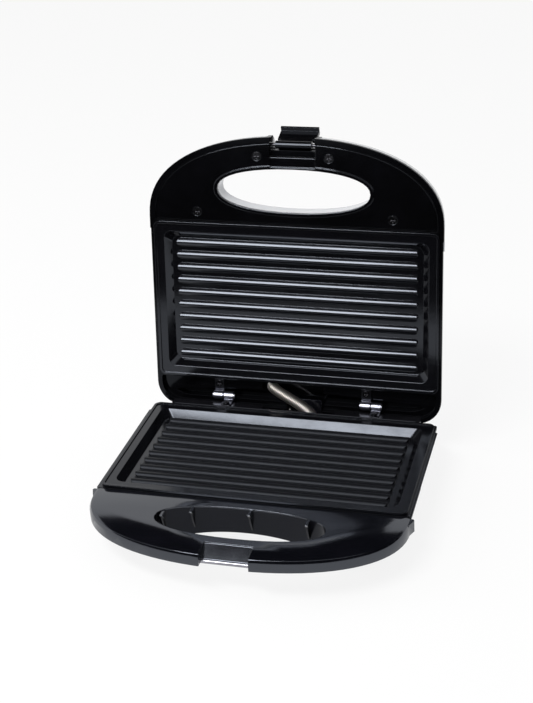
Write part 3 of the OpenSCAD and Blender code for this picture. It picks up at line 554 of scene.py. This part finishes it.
@dataclass(frozen=True)
class Metal(Finish):
    """Drawn, rolled or turned metal, which may take a paler colour round the hinge line as a
    painted highlight on the knuckles.
    """

    dull: Colour = (0.42, 0.42, 0.43)
    run: Run = Run.ALONG_X
    line_scale: float = 1500.0
    depth: float = 0.008
    # Paler colour on the knuckles round the hinge line: a painted highlight
    highlight_colour: Colour | None = None
    highlight_line: Span = HINGE_LINE
    highlight_r: float = 3.7
    highlight_fade: float = 0.3

    def knuckle_highlight_mask(self, t: Tree) -> Socket:
        """Makes a mask of the rolled knuckles, which take a paler colour as a painted highlight.

        Args:
            t: The material's tree.

        Returns:
            The mask's socket, 1 on the knuckles and 0 on the leaf.
        """
        _, y, z = t.split(t.place())
        line = placed(0.0, *self.highlight_line)
        off = [t.math("SUBTRACT", part, at) for part, at in ((y, line.y), (z, line.z))]
        squares = [t.math("MULTIPLY", side, side) for side in off]
        far = t.math("SQRT", t.math("ADD", *squares))
        edge = (self.highlight_r * MM, (self.highlight_r + self.highlight_fade) * MM)
        return t.spread(far, edge, 1.0, 0.0)

    def skin(self, t: Tree, groups: SurfaceGroups) -> tuple[Values, Socket]:
        """Adds the drawn skin, and the painted highlight on the knuckles where the finish has
        one.

        Args:
            t: The material's tree.
            groups: The shared node groups.

        Returns:
            What each input of the shader takes, and the height of the grain.
        """
        made = t.add_group(groups.drawn, {
            "Stretch": self.run.value, "Line Scale": self.line_scale,
            "Roughness": self.roughness, "Colour": rgba(self.colour),
            "Dull Colour": rgba(self.dull),
        })
        colour = made["Colour"]
        # Painted highlight: the knuckles take the paler colour
        if self.highlight_colour:
            colour = t.mixed(self.knuckle_highlight_mask(t), colour, rgba(self.highlight_colour))
        return {
            "Base Color": colour, "Roughness": made["Roughness"], "Metallic": 1.0,
        }, made["Height"]


@dataclass(frozen=True)
class ClearLens(Finish):
    """A tinted clear lens with a finely ribbed body."""

    rib_scale: float = 900.0
    clear: float = 0.55
    paling: float = 1.6

    def skin(self, t: Tree, groups: SurfaceGroups) -> tuple[Values, Socket]:
        """Adds the lens's ribs and its paler streaks.

        Args:
            t: The material's tree.
            groups: The shared node groups.

        Returns:
            What each input of the shader takes, and the height of the grain.
        """
        made = t.add_group(groups.moulded, {
            "Tooth Scale": self.rib_scale, "Roughness": self.roughness,
        })
        pale = tuple(min(1.0, part * self.paling) for part in self.colour)
        return {
            "Base Color": t.mixed(made["Rubbed"], rgba(self.colour), rgba(pale)),
            "Roughness": made["Roughness"],
            "Transmission Weight": self.clear,
        }, made["Height"]


GLOSS_BLACK = Moulding("Gloss black moulding", (0.0016, 0.0016, 0.002), 0.07, tooth_depth=0.03,
                       wave_depth=0.4, depth=0.008, rubbing=0.03, specular=0.42,
                       rub_colour=(0.003, 0.003, 0.004), edge=0.8)
FRAME_BLACK = Moulding("Frame black moulding", (0.0014, 0.0014, 0.0018), 0.1, tooth_depth=0.08,
                       wave_depth=0.4, depth=0.008, rubbing=0.03, specular=0.2,
                       rub_colour=(0.003, 0.003, 0.004), edge=0.7)
SATIN_BLACK = Moulding("Satin black moulding", (0.003, 0.0032, 0.0048), 0.1, tooth_depth=0.25,
                       depth=0.006, rubbing=0.05, specular=0.95,
                       rub_colour=(0.005, 0.005, 0.008), edge=0.5)
TUB_BLACK = Moulding("Plain black moulding", (0.004, 0.004, 0.005), 0.22, tooth_depth=0.5,
                     depth=0.01, rubbing=0.06, rub_colour=(0.008, 0.008, 0.01))
WELL_BLACK = Moulding("Well black moulding", (0.004, 0.004, 0.006), 0.2, tooth_depth=0.4,
                      depth=0.008, rubbing=0.05, specular=0.2,
                      rub_colour=(0.006, 0.006, 0.008))
LATCH_BLACK = Moulding("Latch moulding", (0.002, 0.002, 0.0026), 0.16, tooth_depth=0.3,
                       depth=0.01, rubbing=0.05, specular=0.24,
                       rub_colour=(0.004, 0.004, 0.005))
PALE_SHELL = Moulding("Pale lid moulding", (0.62, 0.63, 0.65), 0.2, tooth_depth=0.1,
                      wave_depth=0.4, depth=0.01, rubbing=0.05,
                      rub_colour=(0.56, 0.57, 0.6), coat=0.25, edge=0.6)
PLATE_COATING = Coating("Non-stick coating", (0.003, 0.003, 0.004), 0.1, edge=0.5,
                        fleck_colour=(0.02, 0.02, 0.024), depth=0.008)
USED_COATING = Coating("Used non-stick coating", (0.003, 0.003, 0.004), 0.14, edge=0.5,
                       fleck_colour=(0.024, 0.024, 0.028), field_rough=0.3, specular=0.4)
PLAIN_STEEL = Metal("Plain steel", (0.6, 0.6, 0.62), 0.3)
BAR_STEEL = Metal("Bright bar steel", (0.34, 0.34, 0.37), 0.24, dull=(0.24, 0.24, 0.27),
                  depth=0.0015)
# The paler colour on the leaf's knuckles is a painted highlight
LEAF_STEEL = Metal("Blued leaf steel", (0.05, 0.052, 0.06), 0.3, dull=(0.022, 0.022, 0.026),
                   highlight_colour=(0.22, 0.226, 0.26))
KNUCKLE_STEEL = Metal("Rolled pin steel", (0.3, 0.306, 0.34), 0.36, dull=(0.2, 0.2, 0.23))
BLACK_STEEL = Metal("Blackened steel", (0.05, 0.05, 0.056), 0.2, dull=(0.025, 0.025, 0.028),
                    edge=0.15)
TRAY_SHEET = Metal("Bright tray sheet", (0.78, 0.78, 0.79), 0.28, dull=(0.62, 0.62, 0.64),
                   run=Run.ALONG_Y, line_scale=900.0)
ROD_SHEATH = Metal("Heat-stained sheath", (0.34, 0.3, 0.27), 0.42, dull=(0.2, 0.15, 0.13))
SLEEVE_WIRE = Metal("Sleeve wire", (0.84, 0.8, 0.76), 0.34, dull=(0.7, 0.66, 0.62), edge=0.05,
                    line_scale=3000.0, depth=0.003)
SLEEVE_LINER = Moulding("Fibre liner", (0.02, 0.019, 0.018), 0.75, tooth_scale=1800.0,
                        tooth_depth=0.9, depth=0.12, edge=0.05)
SOFT_RUBBER = Moulding("Soft rubber", (0.014, 0.014, 0.014), 0.72, tooth_scale=1900.0,
                       tooth_depth=0.9, depth=0.04)
HEATPROOF = Moulding("Heat-proof moulding", (0.66, 0.63, 0.56), 0.55, tooth_depth=0.7,
                     depth=0.03, rub_colour=(0.55, 0.52, 0.45))
RED_LENS = ClearLens("Red lens", (0.5, 0.02, 0.015), 0.12)
GREEN_LENS = ClearLens("Green lens", (0.03, 0.3, 0.06), 0.12)


# ---- Sub-assemblies ----


def tube(name: str, rings: np.ndarray) -> Thing:
    """Makes a closed tube from rings of points.

    Args:
        name: The piece's name.
        rings: Points in metres, ring by ring and round each ring.

    Returns:
        The new object, linked to the scene.
    """
    count, sides = rings.shape[:2]
    faces = [
        (i * sides + j, i * sides + (j + 1) % sides,
         (i + 1) * sides + (j + 1) % sides, (i + 1) * sides + j)
        for i in range(count - 1)
        for j in range(sides)
    ]
    faces.append(tuple(range(sides - 1, -1, -1)))
    faces.append(tuple((count - 1) * sides + j for j in range(sides)))
    mesh = bpy.data.meshes.new(name)
    mesh.from_pydata(rings.reshape(-1, 3).tolist(), [], faces)
    mesh.polygons.foreach_set("use_smooth", [True] * len(mesh.polygons))
    mesh.validate()
    piece = bpy.data.objects.new(name, mesh)
    bpy.context.scene.collection.objects.link(piece)
    return piece


@dataclass
class Dresser:
    """Gives a finish to carried-over parts and to new pieces."""

    groups: SurfaceGroups = field(default_factory=SurfaceGroups)
    smooth_angle: float = 28.0
    weld_gap: float = 0.002
    made: dict[str, Material] = field(default_factory=dict)

    def material(self, finish: Finish) -> Material:
        """Returns the finish's material, made on its first use.

        Args:
            finish: The finish.

        Returns:
            Its material.
        """
        if finish.name not in self.made:
            self.made[finish.name] = finish.make(self.groups)
        return self.made[finish.name]

    def dress(self, thing: Thing, finish: Finish) -> None:
        """Puts a finish on an object as its only material and reports it.

        Args:
            thing: A carried-over part or a new piece.
            finish: The finish it takes.
        """
        thing.data.materials.clear()
        thing.data.materials.append(self.material(finish))
        for face in thing.data.polygons:
            face.material_index = 0
        log.info("%s: %s", thing.name, finish.name)

    def carry(self, nodes: dict[str, Finish]) -> None:
        """Dresses carried-over parts and shades their curved faces smooth.

        Args:
            nodes: The finish of each part by its name.
        """
        for name, finish in nodes.items():
            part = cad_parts[name]
            self.dress(part, finish)
            self.smooth(part)

    def smooth(self, thing: Thing) -> None:
        """Shades an object smooth up to a set angle without moving its vertices.

        Args:
            thing: The object.
        """
        mesh = thing.data
        if "custom_normal" in mesh.attributes:
            mesh.attributes.remove(mesh.attributes["custom_normal"])
        mesh.polygons.foreach_set("use_smooth", [True] * len(mesh.polygons))
        weld = thing.modifiers.new("Joined faces", "WELD")
        weld.merge_threshold = self.weld_gap * MM
        split = thing.modifiers.new("Crisp edges", "EDGE_SPLIT")
        split.split_angle = math.radians(self.smooth_angle)


class Unit(Protocol):
    """A sub-assembly that dresses its parts and adds its own pieces."""

    def build(self, dresser: Dresser) -> None:
        """Builds the sub-assembly with the dresser's finishes."""


@dataclass
class BaseUnit:
    """The fixed half: tub, handle cover, lower plate, feet and what is inside."""

    finishes: dict[str, Finish] = field(default_factory=lambda: {
        "base_housing": TUB_BLACK,
        "base_handle_cover": SATIN_BLACK,
        "base_grill_plate": USED_COATING,
        "base_heating_rod": ROD_SHEATH,
        "base_reflector": TRAY_SHEET,
        "base_plate_screws": PLAIN_STEEL,
        "base_cover_screws": BLACK_STEEL,
        "rubber_feet": SOFT_RUBBER,
        "inlet_bush": SOFT_RUBBER,
        "terminal_block": HEATPROOF,
        "latch_strike": BAR_STEEL,
        "base_conduit_bush": TUB_BLACK,
    })

    hole_y: float = -152.5
    hole_half: float = 60.0
    hole_deep: float = 18.5
    hole_power: float = 2.25
    wall: float = 2.0
    apron_top: float = -10.9
    apron_low: float = -21.3
    apron_drop: float = 1.8
    apron_bow: float = 32.0
    apron_end: float = -24.0
    apron_tip: float = 1.5
    apron_taper: int = 12
    apron_middle: float = 90.0
    apron_span: float = 172.0
    apron_steps: int = 72
    lining: float = 0.2
    lining_skin: float = 0.02
    lining_top: float = -2.5
    fins: tuple[float, ...] = (-56.0, -37.0, 3.5, 45.0)
    fin_t: float = 1.3
    fin_run: float = 6.2
    fin_sink: float = 0.3
    # Share of fin_t to each side, share of fin_run and height, from the fin's top down
    fin_taper: tuple[Point, ...] = (
        (0.5, 1.0, -3.4), (0.46, 0.62, -11.0), (0.42, 0.25, -15.81), (0.4, 0.08, -18.6))
    guard: tuple[Point, Point] = ((-7.2, 20.4, -13.4), (19.2, 21.8, 1.6))
    guard_foot: float = 7.0
    guard_step: float = -9.2
    guard_cut: float = 2.2
    guard_round: float = 0.66

    def hole_edge(self, angle: float, grow: float) -> Span:
        """Returns a point of the hand hole's outline.

        Args:
            angle: Degrees round the hole, from the right end towards the plates.
            grow: How far outside the hole the point lies, in millimetres.

        Returns:
            The point's place across and along.
        """
        way = (math.cos(math.radians(angle)), math.sin(math.radians(angle)))
        bent = [math.copysign(abs(c) ** (2 / self.hole_power), c) for c in way]
        return ((self.hole_half + grow) * bent[0],
                self.hole_y + (self.hole_deep + grow) * bent[1])

    def apron(self) -> Thing:
        """Makes the deep wall behind the hand hole, which also lines the cover's own wall.

        Returns:
            The new piece.
        """
        rings = []
        for step in range(self.apron_steps + 1):
            share = step / self.apron_steps
            angle = self.apron_middle + self.apron_span * (0.5 - share)
            face, skin, back = (self.hole_edge(angle, grow) for grow in
                                (-self.lining, -self.lining_skin, self.wall))
            low = self.apron_low - self.apron_drop * (face[0] / self.apron_bow) ** 2
            low = max(low, self.apron_end)
            low += abs(2 * share - 1) ** self.apron_taper * (
                self.apron_top - self.apron_tip - low)
            rings.append([(*face, self.lining_top), (*skin, self.lining_top),
                          (*skin, self.apron_top), (*back, self.apron_top),
                          (*back, low), (*face, low)])
        return tube("hole_apron", in_frame(rings))

    def fin(self, index: int, x: float) -> Thing:
        """Makes one tapering fin against the deep wall.

        Args:
            index: The fin's number from the left.
            x: Its place across, in millimetres.

        Returns:
            The new piece.
        """
        share = (abs(x) / self.hole_half) ** self.hole_power
        edge = self.hole_y + self.hole_deep * (1 - share) ** (1 / self.hole_power)
        back = edge + self.fin_sink
        rings = []
        for half, run, z in self.fin_taper:
            side, front = half * self.fin_t, back - run * self.fin_run
            rings.append([(x - side, back, z), (x + side, back, z),
                          (x + side, front, z), (x - side, front, z)])
        return tube(f"hole_fin_{index}", in_frame(rings))

    def guard_tab(self) -> Thing:
        """Makes the low tab, on a wider foot, that stands behind the wiring sleeve.

        Returns:
            The new piece.
        """
        (x0, y0, z0), (x1, y1, z1) = self.guard
        cut, near, foot, step = self.guard_cut, self.guard_round, self.guard_foot, self.guard_step
        outline = [(x0 - foot, z0), (x1 + foot, z0), (x1 + foot, step), (x1, step),
                   (x1, z1 - cut), (x1 - near, z1 - near), (x1 - cut, z1),
                   (x0 + cut, z1), (x0 + near, z1 - near), (x0, z1 - cut),
                   (x0, step), (x0 - foot, step)]
        return tube("sleeve_guard", in_frame([[(x, y, z) for x, z in outline] for y in (y0, y1)]))

    def build(self, dresser: Dresser) -> None:
        """Dresses the fixed half's parts and adds its deep wall, fins and tab.

        Args:
            dresser: Gives the finishes.
        """
        dresser.carry(self.finishes)
        added = [self.apron(), self.guard_tab()]
        added += [self.fin(index, x) for index, x in enumerate(self.fins, 1)]
        for piece in added:
            dresser.dress(piece, WELL_BLACK)
            dresser.smooth(piece)
            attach(piece, Body.BASE.value)


@dataclass
class LidUnit:
    """The swinging half: rim frame, pale shell, handle panel, upper plate and controls."""

    finishes: dict[str, Finish] = field(default_factory=lambda: {
        "lid_frame": FRAME_BLACK,
        "lid_shell": PALE_SHELL,
        "lid_handle_panel": GLOSS_BLACK,
        "lid_grill_plate": PLATE_COATING,
        "lid_heating_rod": ROD_SHEATH,
        "lid_reflector": TRAY_SHEET,
        "lid_plate_screws": PLAIN_STEEL,
        "lid_panel_screws": BLACK_STEEL,
        "thermostat": HEATPROOF,
        "thermostat_screws": PLAIN_STEEL,
        "power_lens": RED_LENS,
        "ready_lens": GREEN_LENS,
        "lid_conduit_bush": TUB_BLACK,
    })

    open_angle: float = 96.5
    hinge: Span = HINGE_LINE
    lips: tuple[Span, ...] = ((-7.95, -7.35), (19.35, 19.95))
    lip_y: Span = (15.6, 24.9)
    lip_z: Span = (3.4, 13.9)
    lip_cut: float = 1.2

    def opened(self, x: float, y: float, z: float) -> Point:
        """Returns where a point of the closed lid lies with the lid open.

        Args:
            x: Its place across, in millimetres.
            y: Its place along.
            z: Its height.

        Returns:
            The point, still in the drawing's millimetres.
        """
        turn = math.radians(self.open_angle)
        y, z = y - self.hinge[0], z - self.hinge[1]
        return (x, self.hinge[0] + y * math.cos(turn) + z * math.sin(turn),
                self.hinge[1] - y * math.sin(turn) + z * math.cos(turn))

    def lip(self, index: int, span: Span) -> Thing:
        """Makes one dark lip that lines a side of the gap for the wiring sleeve.

        Args:
            index: The lip's number from the left.
            span: Its two faces across, in millimetres.

        Returns:
            The new piece.
        """
        (y0, y1), (z0, z1), cut = self.lip_y, self.lip_z, self.lip_cut
        outline = [(y0, z0), (y1 - cut, z0), (y1, z0 + cut), (y1, z1 - cut), (y1 - cut, z1),
                   (y0, z1)]
        return tube(f"gap_lip_{index}",
                    in_frame([[self.opened(x, y, z) for y, z in outline] for x in span]))

    def build(self, dresser: Dresser) -> None:
        """Dresses the swinging half's parts and lines the gap for the sleeve.

        Args:
            dresser: Gives the finishes.
        """
        dresser.carry(self.finishes)
        for index, span in enumerate(self.lips, 1):
            piece = self.lip(index, span)
            dresser.dress(piece, FRAME_BLACK)
            dresser.smooth(piece)
            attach(piece, Body.LID.value)


@dataclass
class HingePair:
    """The two butt hinges with their pins and screws."""

    finishes: dict[str, Finish] = field(default_factory=lambda: {
        "hinge_base_leaf_left": LEAF_STEEL,
        "hinge_base_leaf_right": LEAF_STEEL,
        "hinge_base_screws": BLACK_STEEL,
        "hinge_pins": KNUCKLE_STEEL,
        "hinge_lid_leaf_left": LEAF_STEEL,
        "hinge_lid_leaf_right": LEAF_STEEL,
        "hinge_lid_screws": BLACK_STEEL,
    })

    def build(self, dresser: Dresser) -> None:
        """Dresses the hinges."""
        dresser.carry(self.finishes)


@dataclass
class SwingLatch:
    """The latch that holds the halves shut, on its pin."""

    finishes: dict[str, Finish] = field(default_factory=lambda: {
        "latch": LATCH_BLACK,
        "latch_pin": BLACK_STEEL,
    })

    def build(self, dresser: Dresser) -> None:
        """Dresses the latch and its pin."""
        dresser.carry(self.finishes)


def unit_rows(rows: np.ndarray) -> np.ndarray:
    """Returns rows of vectors, each made one long."""
    return rows / np.linalg.norm(rows, axis=1)[:, None]


@dataclass
class WiringSleeve:
    """The coiled sleeve that carries the lid's wiring over the hinge line."""

    lid_mouth: Vector = field(default_factory=lambda: Vector((-21.0, 26.19, 9.527)))
    lid_way: Vector = field(default_factory=lambda: Vector((0.0, -0.99357, 0.1132)))
    base_mouth: Vector = field(default_factory=lambda: Vector((12.0, 14.6, -13.5)))
    aside: Point = (-0.6, 0.5, 0.62)
    straight: float = 2.5
    inside: float = 4.0
    arm: float = 9.0
    bend_steps: int = 80
    route_steps: int = 240
    outer_r: float = 4.3
    wire_r: float = 0.36
    pitch: float = 1.2
    steps_per_curl: int = 20
    wire_sides: int = 8
    liner_r: float = 3.3
    liner_sides: int = 24

    def route(self) -> np.ndarray:
        """Returns points spaced evenly along the sleeve's middle.

        Returns:
            Points in millimetres, from the lid's end to the base's end.
        """
        way = np.array(self.lid_way)
        up = np.array((0.0, 0.0, 1.0))
        lid, base = np.array(self.lid_mouth), np.array(self.base_mouth)
        a, d = lid + self.straight * way, base + self.straight * up
        b, c = a + self.arm * way, d + self.arm * up
        t = np.linspace(0.0, 1.0, self.bend_steps)[:, None]
        curve = (1 - t) ** 3 * a + 3 * t * (1 - t) ** 2 * b + 3 * t * t * (1 - t) * c + t ** 3 * d
        line = np.vstack([lid - self.inside * way, curve, base - self.inside * up])
        steps = np.linalg.norm(np.diff(line, axis=0), axis=1)
        length = np.concatenate([[0.0], np.cumsum(steps)])
        even = np.linspace(0.0, length[-1], self.route_steps)
        return np.stack([np.interp(even, length, line[:, k]) for k in range(3)], axis=1)

    def sideways(self, line: np.ndarray) -> tuple[np.ndarray, np.ndarray]:
        """Returns two directions square to a line and to each other.

        Args:
            line: Points along the line.

        Returns:
            Both directions at each point.
        """
        heading = unit_rows(np.gradient(line, axis=0))
        side = unit_rows(np.cross(heading, np.array(self.aside)))
        return side, np.cross(heading, side)

    def rings(self, line: np.ndarray, radius: float, sides: int,
              axes: tuple[np.ndarray, np.ndarray]) -> np.ndarray:
        """Returns rings of points round a line, in metres.

        Args:
            line: The middle of the tube, in millimetres.
            radius: The tube's radius in millimetres.
            sides: How many points go round.
            axes: Two directions square to the line at each point.

        Returns:
            An array of rings.
        """
        side, up = axes
        angle = np.linspace(0.0, 2 * math.pi, sides, endpoint=False)
        ring = (line[:, None, :]
                + radius * (np.cos(angle)[None, :, None] * side[:, None, :]
                            + np.sin(angle)[None, :, None] * up[:, None, :]))
        return in_frame(ring)

    def winding(self, middle: np.ndarray, side: np.ndarray, up: np.ndarray) -> np.ndarray:
        """Winds the wire round the sleeve's middle.

        Args:
            middle: Points along the middle, in millimetres.
            side: A direction square to it at each point.
            up: A direction square to both.

        Returns:
            The wire's rings, in metres.
        """
        span = float(np.sum(np.linalg.norm(np.diff(middle, axis=0), axis=1)))
        count = (int(span / self.pitch) - 1) * self.steps_per_curl
        at = (np.arange(count + 1) / self.steps_per_curl + 0.5) * self.pitch / span
        grid = np.linspace(0.0, 1.0, len(middle))
        centre, across, above = (
            np.stack([np.interp(at, grid, rows[:, k]) for k in range(3)], axis=1)
            for rows in (middle, side, up)
        )
        turn = 2 * math.pi * np.arange(count + 1)[:, None] / self.steps_per_curl
        out = np.cos(turn) * across + np.sin(turn) * above
        coil = centre + (self.outer_r - self.wire_r) * out
        along = unit_rows(np.gradient(coil, axis=0))
        flat = unit_rows(out - np.sum(out * along, axis=1)[:, None] * along)
        return self.rings(coil, self.wire_r, self.wire_sides, (flat, np.cross(along, flat)))

    def build(self, dresser: Dresser) -> None:
        """Builds the wound wire and the liner and bends both across the hinge.

        Args:
            dresser: Gives the finishes.
        """
        middle = self.route()
        side, up = self.sideways(middle)
        liner = tube("sleeve_liner", self.rings(middle, self.liner_r, self.liner_sides,
                                                (side, up)))
        wire = tube("sleeve_coil", self.winding(middle, side, up))
        for piece, node, slot, finish in (
            (wire, "conduit_coil", "conduit_steel", SLEEVE_WIRE),
            (liner, "conduit_liner", "liner", SLEEVE_LINER),
        ):
            dresser.dress(piece, finish)
            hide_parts(node)
            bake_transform(piece)


# ---- Studio ----


class Reach(Enum):
    """What a lamp adds: light on the surfaces, or its mirror image in them."""

    LIGHT = "light"
    GLOSS = "gloss"


@dataclass(frozen=True)
class Lamp:
    """A soft area lamp."""

    name: str
    place: Point
    aim: Point
    width: float
    depth: float
    watts: float
    reach: Reach
    only: tuple[str, ...] = ()
    skip: tuple[str, ...] = ()

    def share(self, thing: Thing) -> None:
        """Limits the lamp to the parts that it is meant for.

        Args:
            thing: The lamp's object.
        """
        if not (self.only or self.skip):
            return
        met = bpy.data.collections.new(self.name + " parts")
        for name in self.only or self.skip:
            met.objects.link(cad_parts[name])
        thing.light_linking.receiver_collection = met
        for item in met.collection_objects:
            item.light_linking.link_state = "INCLUDE" if self.only else "EXCLUDE"

    def hang(self) -> None:
        """Hangs the lamp in the scene."""
        data = bpy.data.lights.new(self.name, "AREA")
        data.shape = "RECTANGLE"
        data.size, data.size_y, data.energy = self.width, self.depth, self.watts
        thing = bpy.data.objects.new(self.name, data)
        thing.location = self.place
        thing.visible_glossy = self.reach is Reach.GLOSS
        thing.visible_diffuse = self.reach is Reach.LIGHT
        self.share(thing)
        way = Vector(self.aim) - Vector(self.place)
        thing.rotation_euler = way.to_track_quat("-Z", "Y").to_euler()
        bpy.context.scene.collection.objects.link(thing)


def flat_sheet(name: str, corners: Sequence, paint: Material) -> Thing:
    """Makes one flat sheet for the studio.

    Args:
        name: The sheet's name.
        corners: Its four corners in metres.
        paint: Its material.

    Returns:
        The new object, linked to the scene.
    """
    mesh = bpy.data.meshes.new(name)
    mesh.from_pydata(corners, [], [(0, 1, 2, 3)])
    mesh.materials.append(paint)
    sheet = bpy.data.objects.new(name, mesh)
    bpy.context.scene.collection.objects.link(sheet)
    return sheet


@dataclass(frozen=True)
class Flag:
    """A dark card that only reflections meet, to deepen gloss black."""

    name: str
    corner: Point
    across: Point
    along: Point

    def build(self, paint: Material) -> None:
        """Stands the card in the studio.

        Args:
            paint: The card's material.
        """
        start, a, b = Vector(self.corner), Vector(self.across), Vector(self.along)
        card = flat_sheet(self.name, [start, start + a, start + a + b, start + b], paint)
        card.visible_camera = card.visible_diffuse = card.visible_shadow = False
        card.visible_transmission = card.visible_volume_scatter = False


@dataclass
class Studio:
    """Pale floor, white surround, soft lamps and dark cards."""

    floor_size: float = 12.0
    floor_shade: float = 0.88
    floor_glow: float = 0.86
    ambient: float = 0.55
    lamps: tuple[Lamp, ...] = (
        Lamp("Front softbox", (-0.35, -0.71, 1.25), (0.0, 0.0, 0.1), 0.8, 0.32, 13.0,
             Reach.LIGHT),
        Lamp("Gloss panel", (-0.305, -0.81, 0.83), (0.0, 0.05, 0.12), 0.46, 0.94, 22.5,
             Reach.GLOSS, skip=("base_grill_plate", "lid_frame", "base_housing")),
        Lamp("Gloss strip", (-0.5, -0.71, 1.25), (0.0, 0.06, 0.03), 1.0, 0.14, 8.4,
             Reach.GLOSS, only=("base_grill_plate",)),
        Lamp("Left softbox", (-1.5, -0.2, 0.9), (0.0, 0.0, 0.1), 0.6, 1.0, 7.0,
             Reach.LIGHT),
    )
    flags: tuple[Flag, ...] = (
        Flag("front_flag", (-1.0, -0.42, 0.0), (1.7, 0.0, 0.0), (0.0, -0.02, 0.19)),
        Flag("top_flag", (-0.9, -0.36, 0.95), (1.9, 0.0, 0.0), (0.0, 1.3, 0.0)),
        Flag("right_flag", (0.4, -0.5, 0.0), (0.0, 0.62, 0.0), (0.03, 0.0, 0.34)),
    )

    def pale_rays(self, t: Tree) -> Socket:
        """Returns a mask of the rays that should meet a white surround.

        Args:
            t: The tree that asks for it.

        Returns:
            The mask's socket.
        """
        path = t.add("LightPath")
        seen = t.math("MAXIMUM", path.outputs["Is Camera Ray"], path.outputs["Is Glossy Ray"])
        return t.math("MAXIMUM", seen, path.outputs["Is Transmission Ray"])

    def build_world(self) -> None:
        """Makes the surround white to the eye and plain grey as a light."""
        world = bpy.data.worlds.new("Studio surround")
        world.use_nodes = True
        bpy.context.scene.world = world
        t = Tree(world.node_tree)
        strength = t.spread(self.pale_rays(t), (0.0, 1.0), self.ambient, 1.0)
        back = t.add("Background", Color=rgba(WHITE), Strength=strength)
        t.add("OutputWorld", Surface=back.outputs[0])

    def build_floor(self) -> None:
        """Lays a white floor that keeps the toaster's shadow."""
        paint = bpy.data.materials.new("Studio floor")
        paint.use_nodes = True
        t = Tree(paint.node_tree)
        lit = t.add("BsdfDiffuse", Color=rgba((self.floor_shade,) * 3))
        glow = t.add("Emission", Color=rgba(WHITE))
        mix = t.add("MixShader")
        share = t.math("MULTIPLY", self.pale_rays(t), self.floor_glow)
        for socket, value in zip(mix.inputs, (share, lit.outputs[0], glow.outputs[0])):
            t.feed(socket, value)
        t.add("OutputMaterial", Surface=mix.outputs[0])
        half = self.floor_size / 2
        floor = flat_sheet("studio_floor", [(-half, -half, 0.0), (half, -half, 0.0),
                                            (half, half, 0.0), (-half, half, 0.0)], paint)

    def build_flags(self) -> None:
        """Stands the dark cards."""
        paint = bpy.data.materials.new("Flag cloth")
        paint.use_nodes = True
        t = Tree(paint.node_tree)
        cloth = t.add("BsdfDiffuse", Color=rgba(DARK))
        t.add("OutputMaterial", Surface=cloth.outputs[0])
        for flag in self.flags:
            flag.build(paint)

    def build(self) -> None:
        """Builds the studio and sets the plain view."""
        self.build_world()
        self.build_floor()
        for lamp in self.lamps:
            lamp.hang()
        self.build_flags()
        bpy.context.scene.view_settings.view_transform = "Standard"


@dataclass
class PhotoCamera:
    """The camera at the photograph's place and angle."""

    place: Vector = field(default_factory=lambda: Vector((259.4, -959.4, 544.2)))
    yaw: float = 15.91
    pitch: float = 22.96
    roll: float = -3.19
    focal_px: float = 1471.4
    rise_px: float = -85.0
    sensor: float = 36.0
    near: float = 0.05
    far: float = 60.0

    def build(self) -> None:
        """Builds the camera and makes it the scene's own."""
        yaw, pitch, roll = map(math.radians, (self.yaw, self.pitch, self.roll))
        ahead = Vector((-math.sin(yaw) * math.cos(pitch), math.cos(yaw) * math.cos(pitch),
                        -math.sin(pitch)))
        right = Vector((math.cos(yaw), math.sin(yaw), 0.0))
        up = right.cross(ahead)
        tilted = math.cos(roll) * right + math.sin(roll) * up
        risen = math.cos(roll) * up - math.sin(roll) * right
        data = bpy.data.cameras.new("Photo camera")
        data.sensor_width = self.sensor
        long_side = max(IMAGE_SIZE)
        data.lens = self.focal_px * self.sensor / long_side
        data.shift_y = self.rise_px / long_side
        data.clip_start, data.clip_end = self.near, self.far
        camera = bpy.data.objects.new("Photo camera", data)
        turn = Matrix((tilted, risen, -ahead)).transposed().to_4x4()
        camera.matrix_world = Matrix.Translation(placed(*self.place)) @ turn
        bpy.context.scene.collection.objects.link(camera)
        bpy.context.scene.camera = camera


def main() -> None:
    """Builds the studio, the camera and every sub-assembly."""
    logging.basicConfig(level=logging.INFO, format="%(name)s %(message)s")
    Studio().build()
    PhotoCamera().build()
    dresser = Dresser()
    units: tuple[Unit, ...] = (
        BaseUnit(), LidUnit(), HingePair(), SwingLatch(), WiringSleeve())
    for unit in units:
        log.info("building %s", type(unit).__name__)
        unit.build(dresser)


if __name__ == "__main__":
    main()
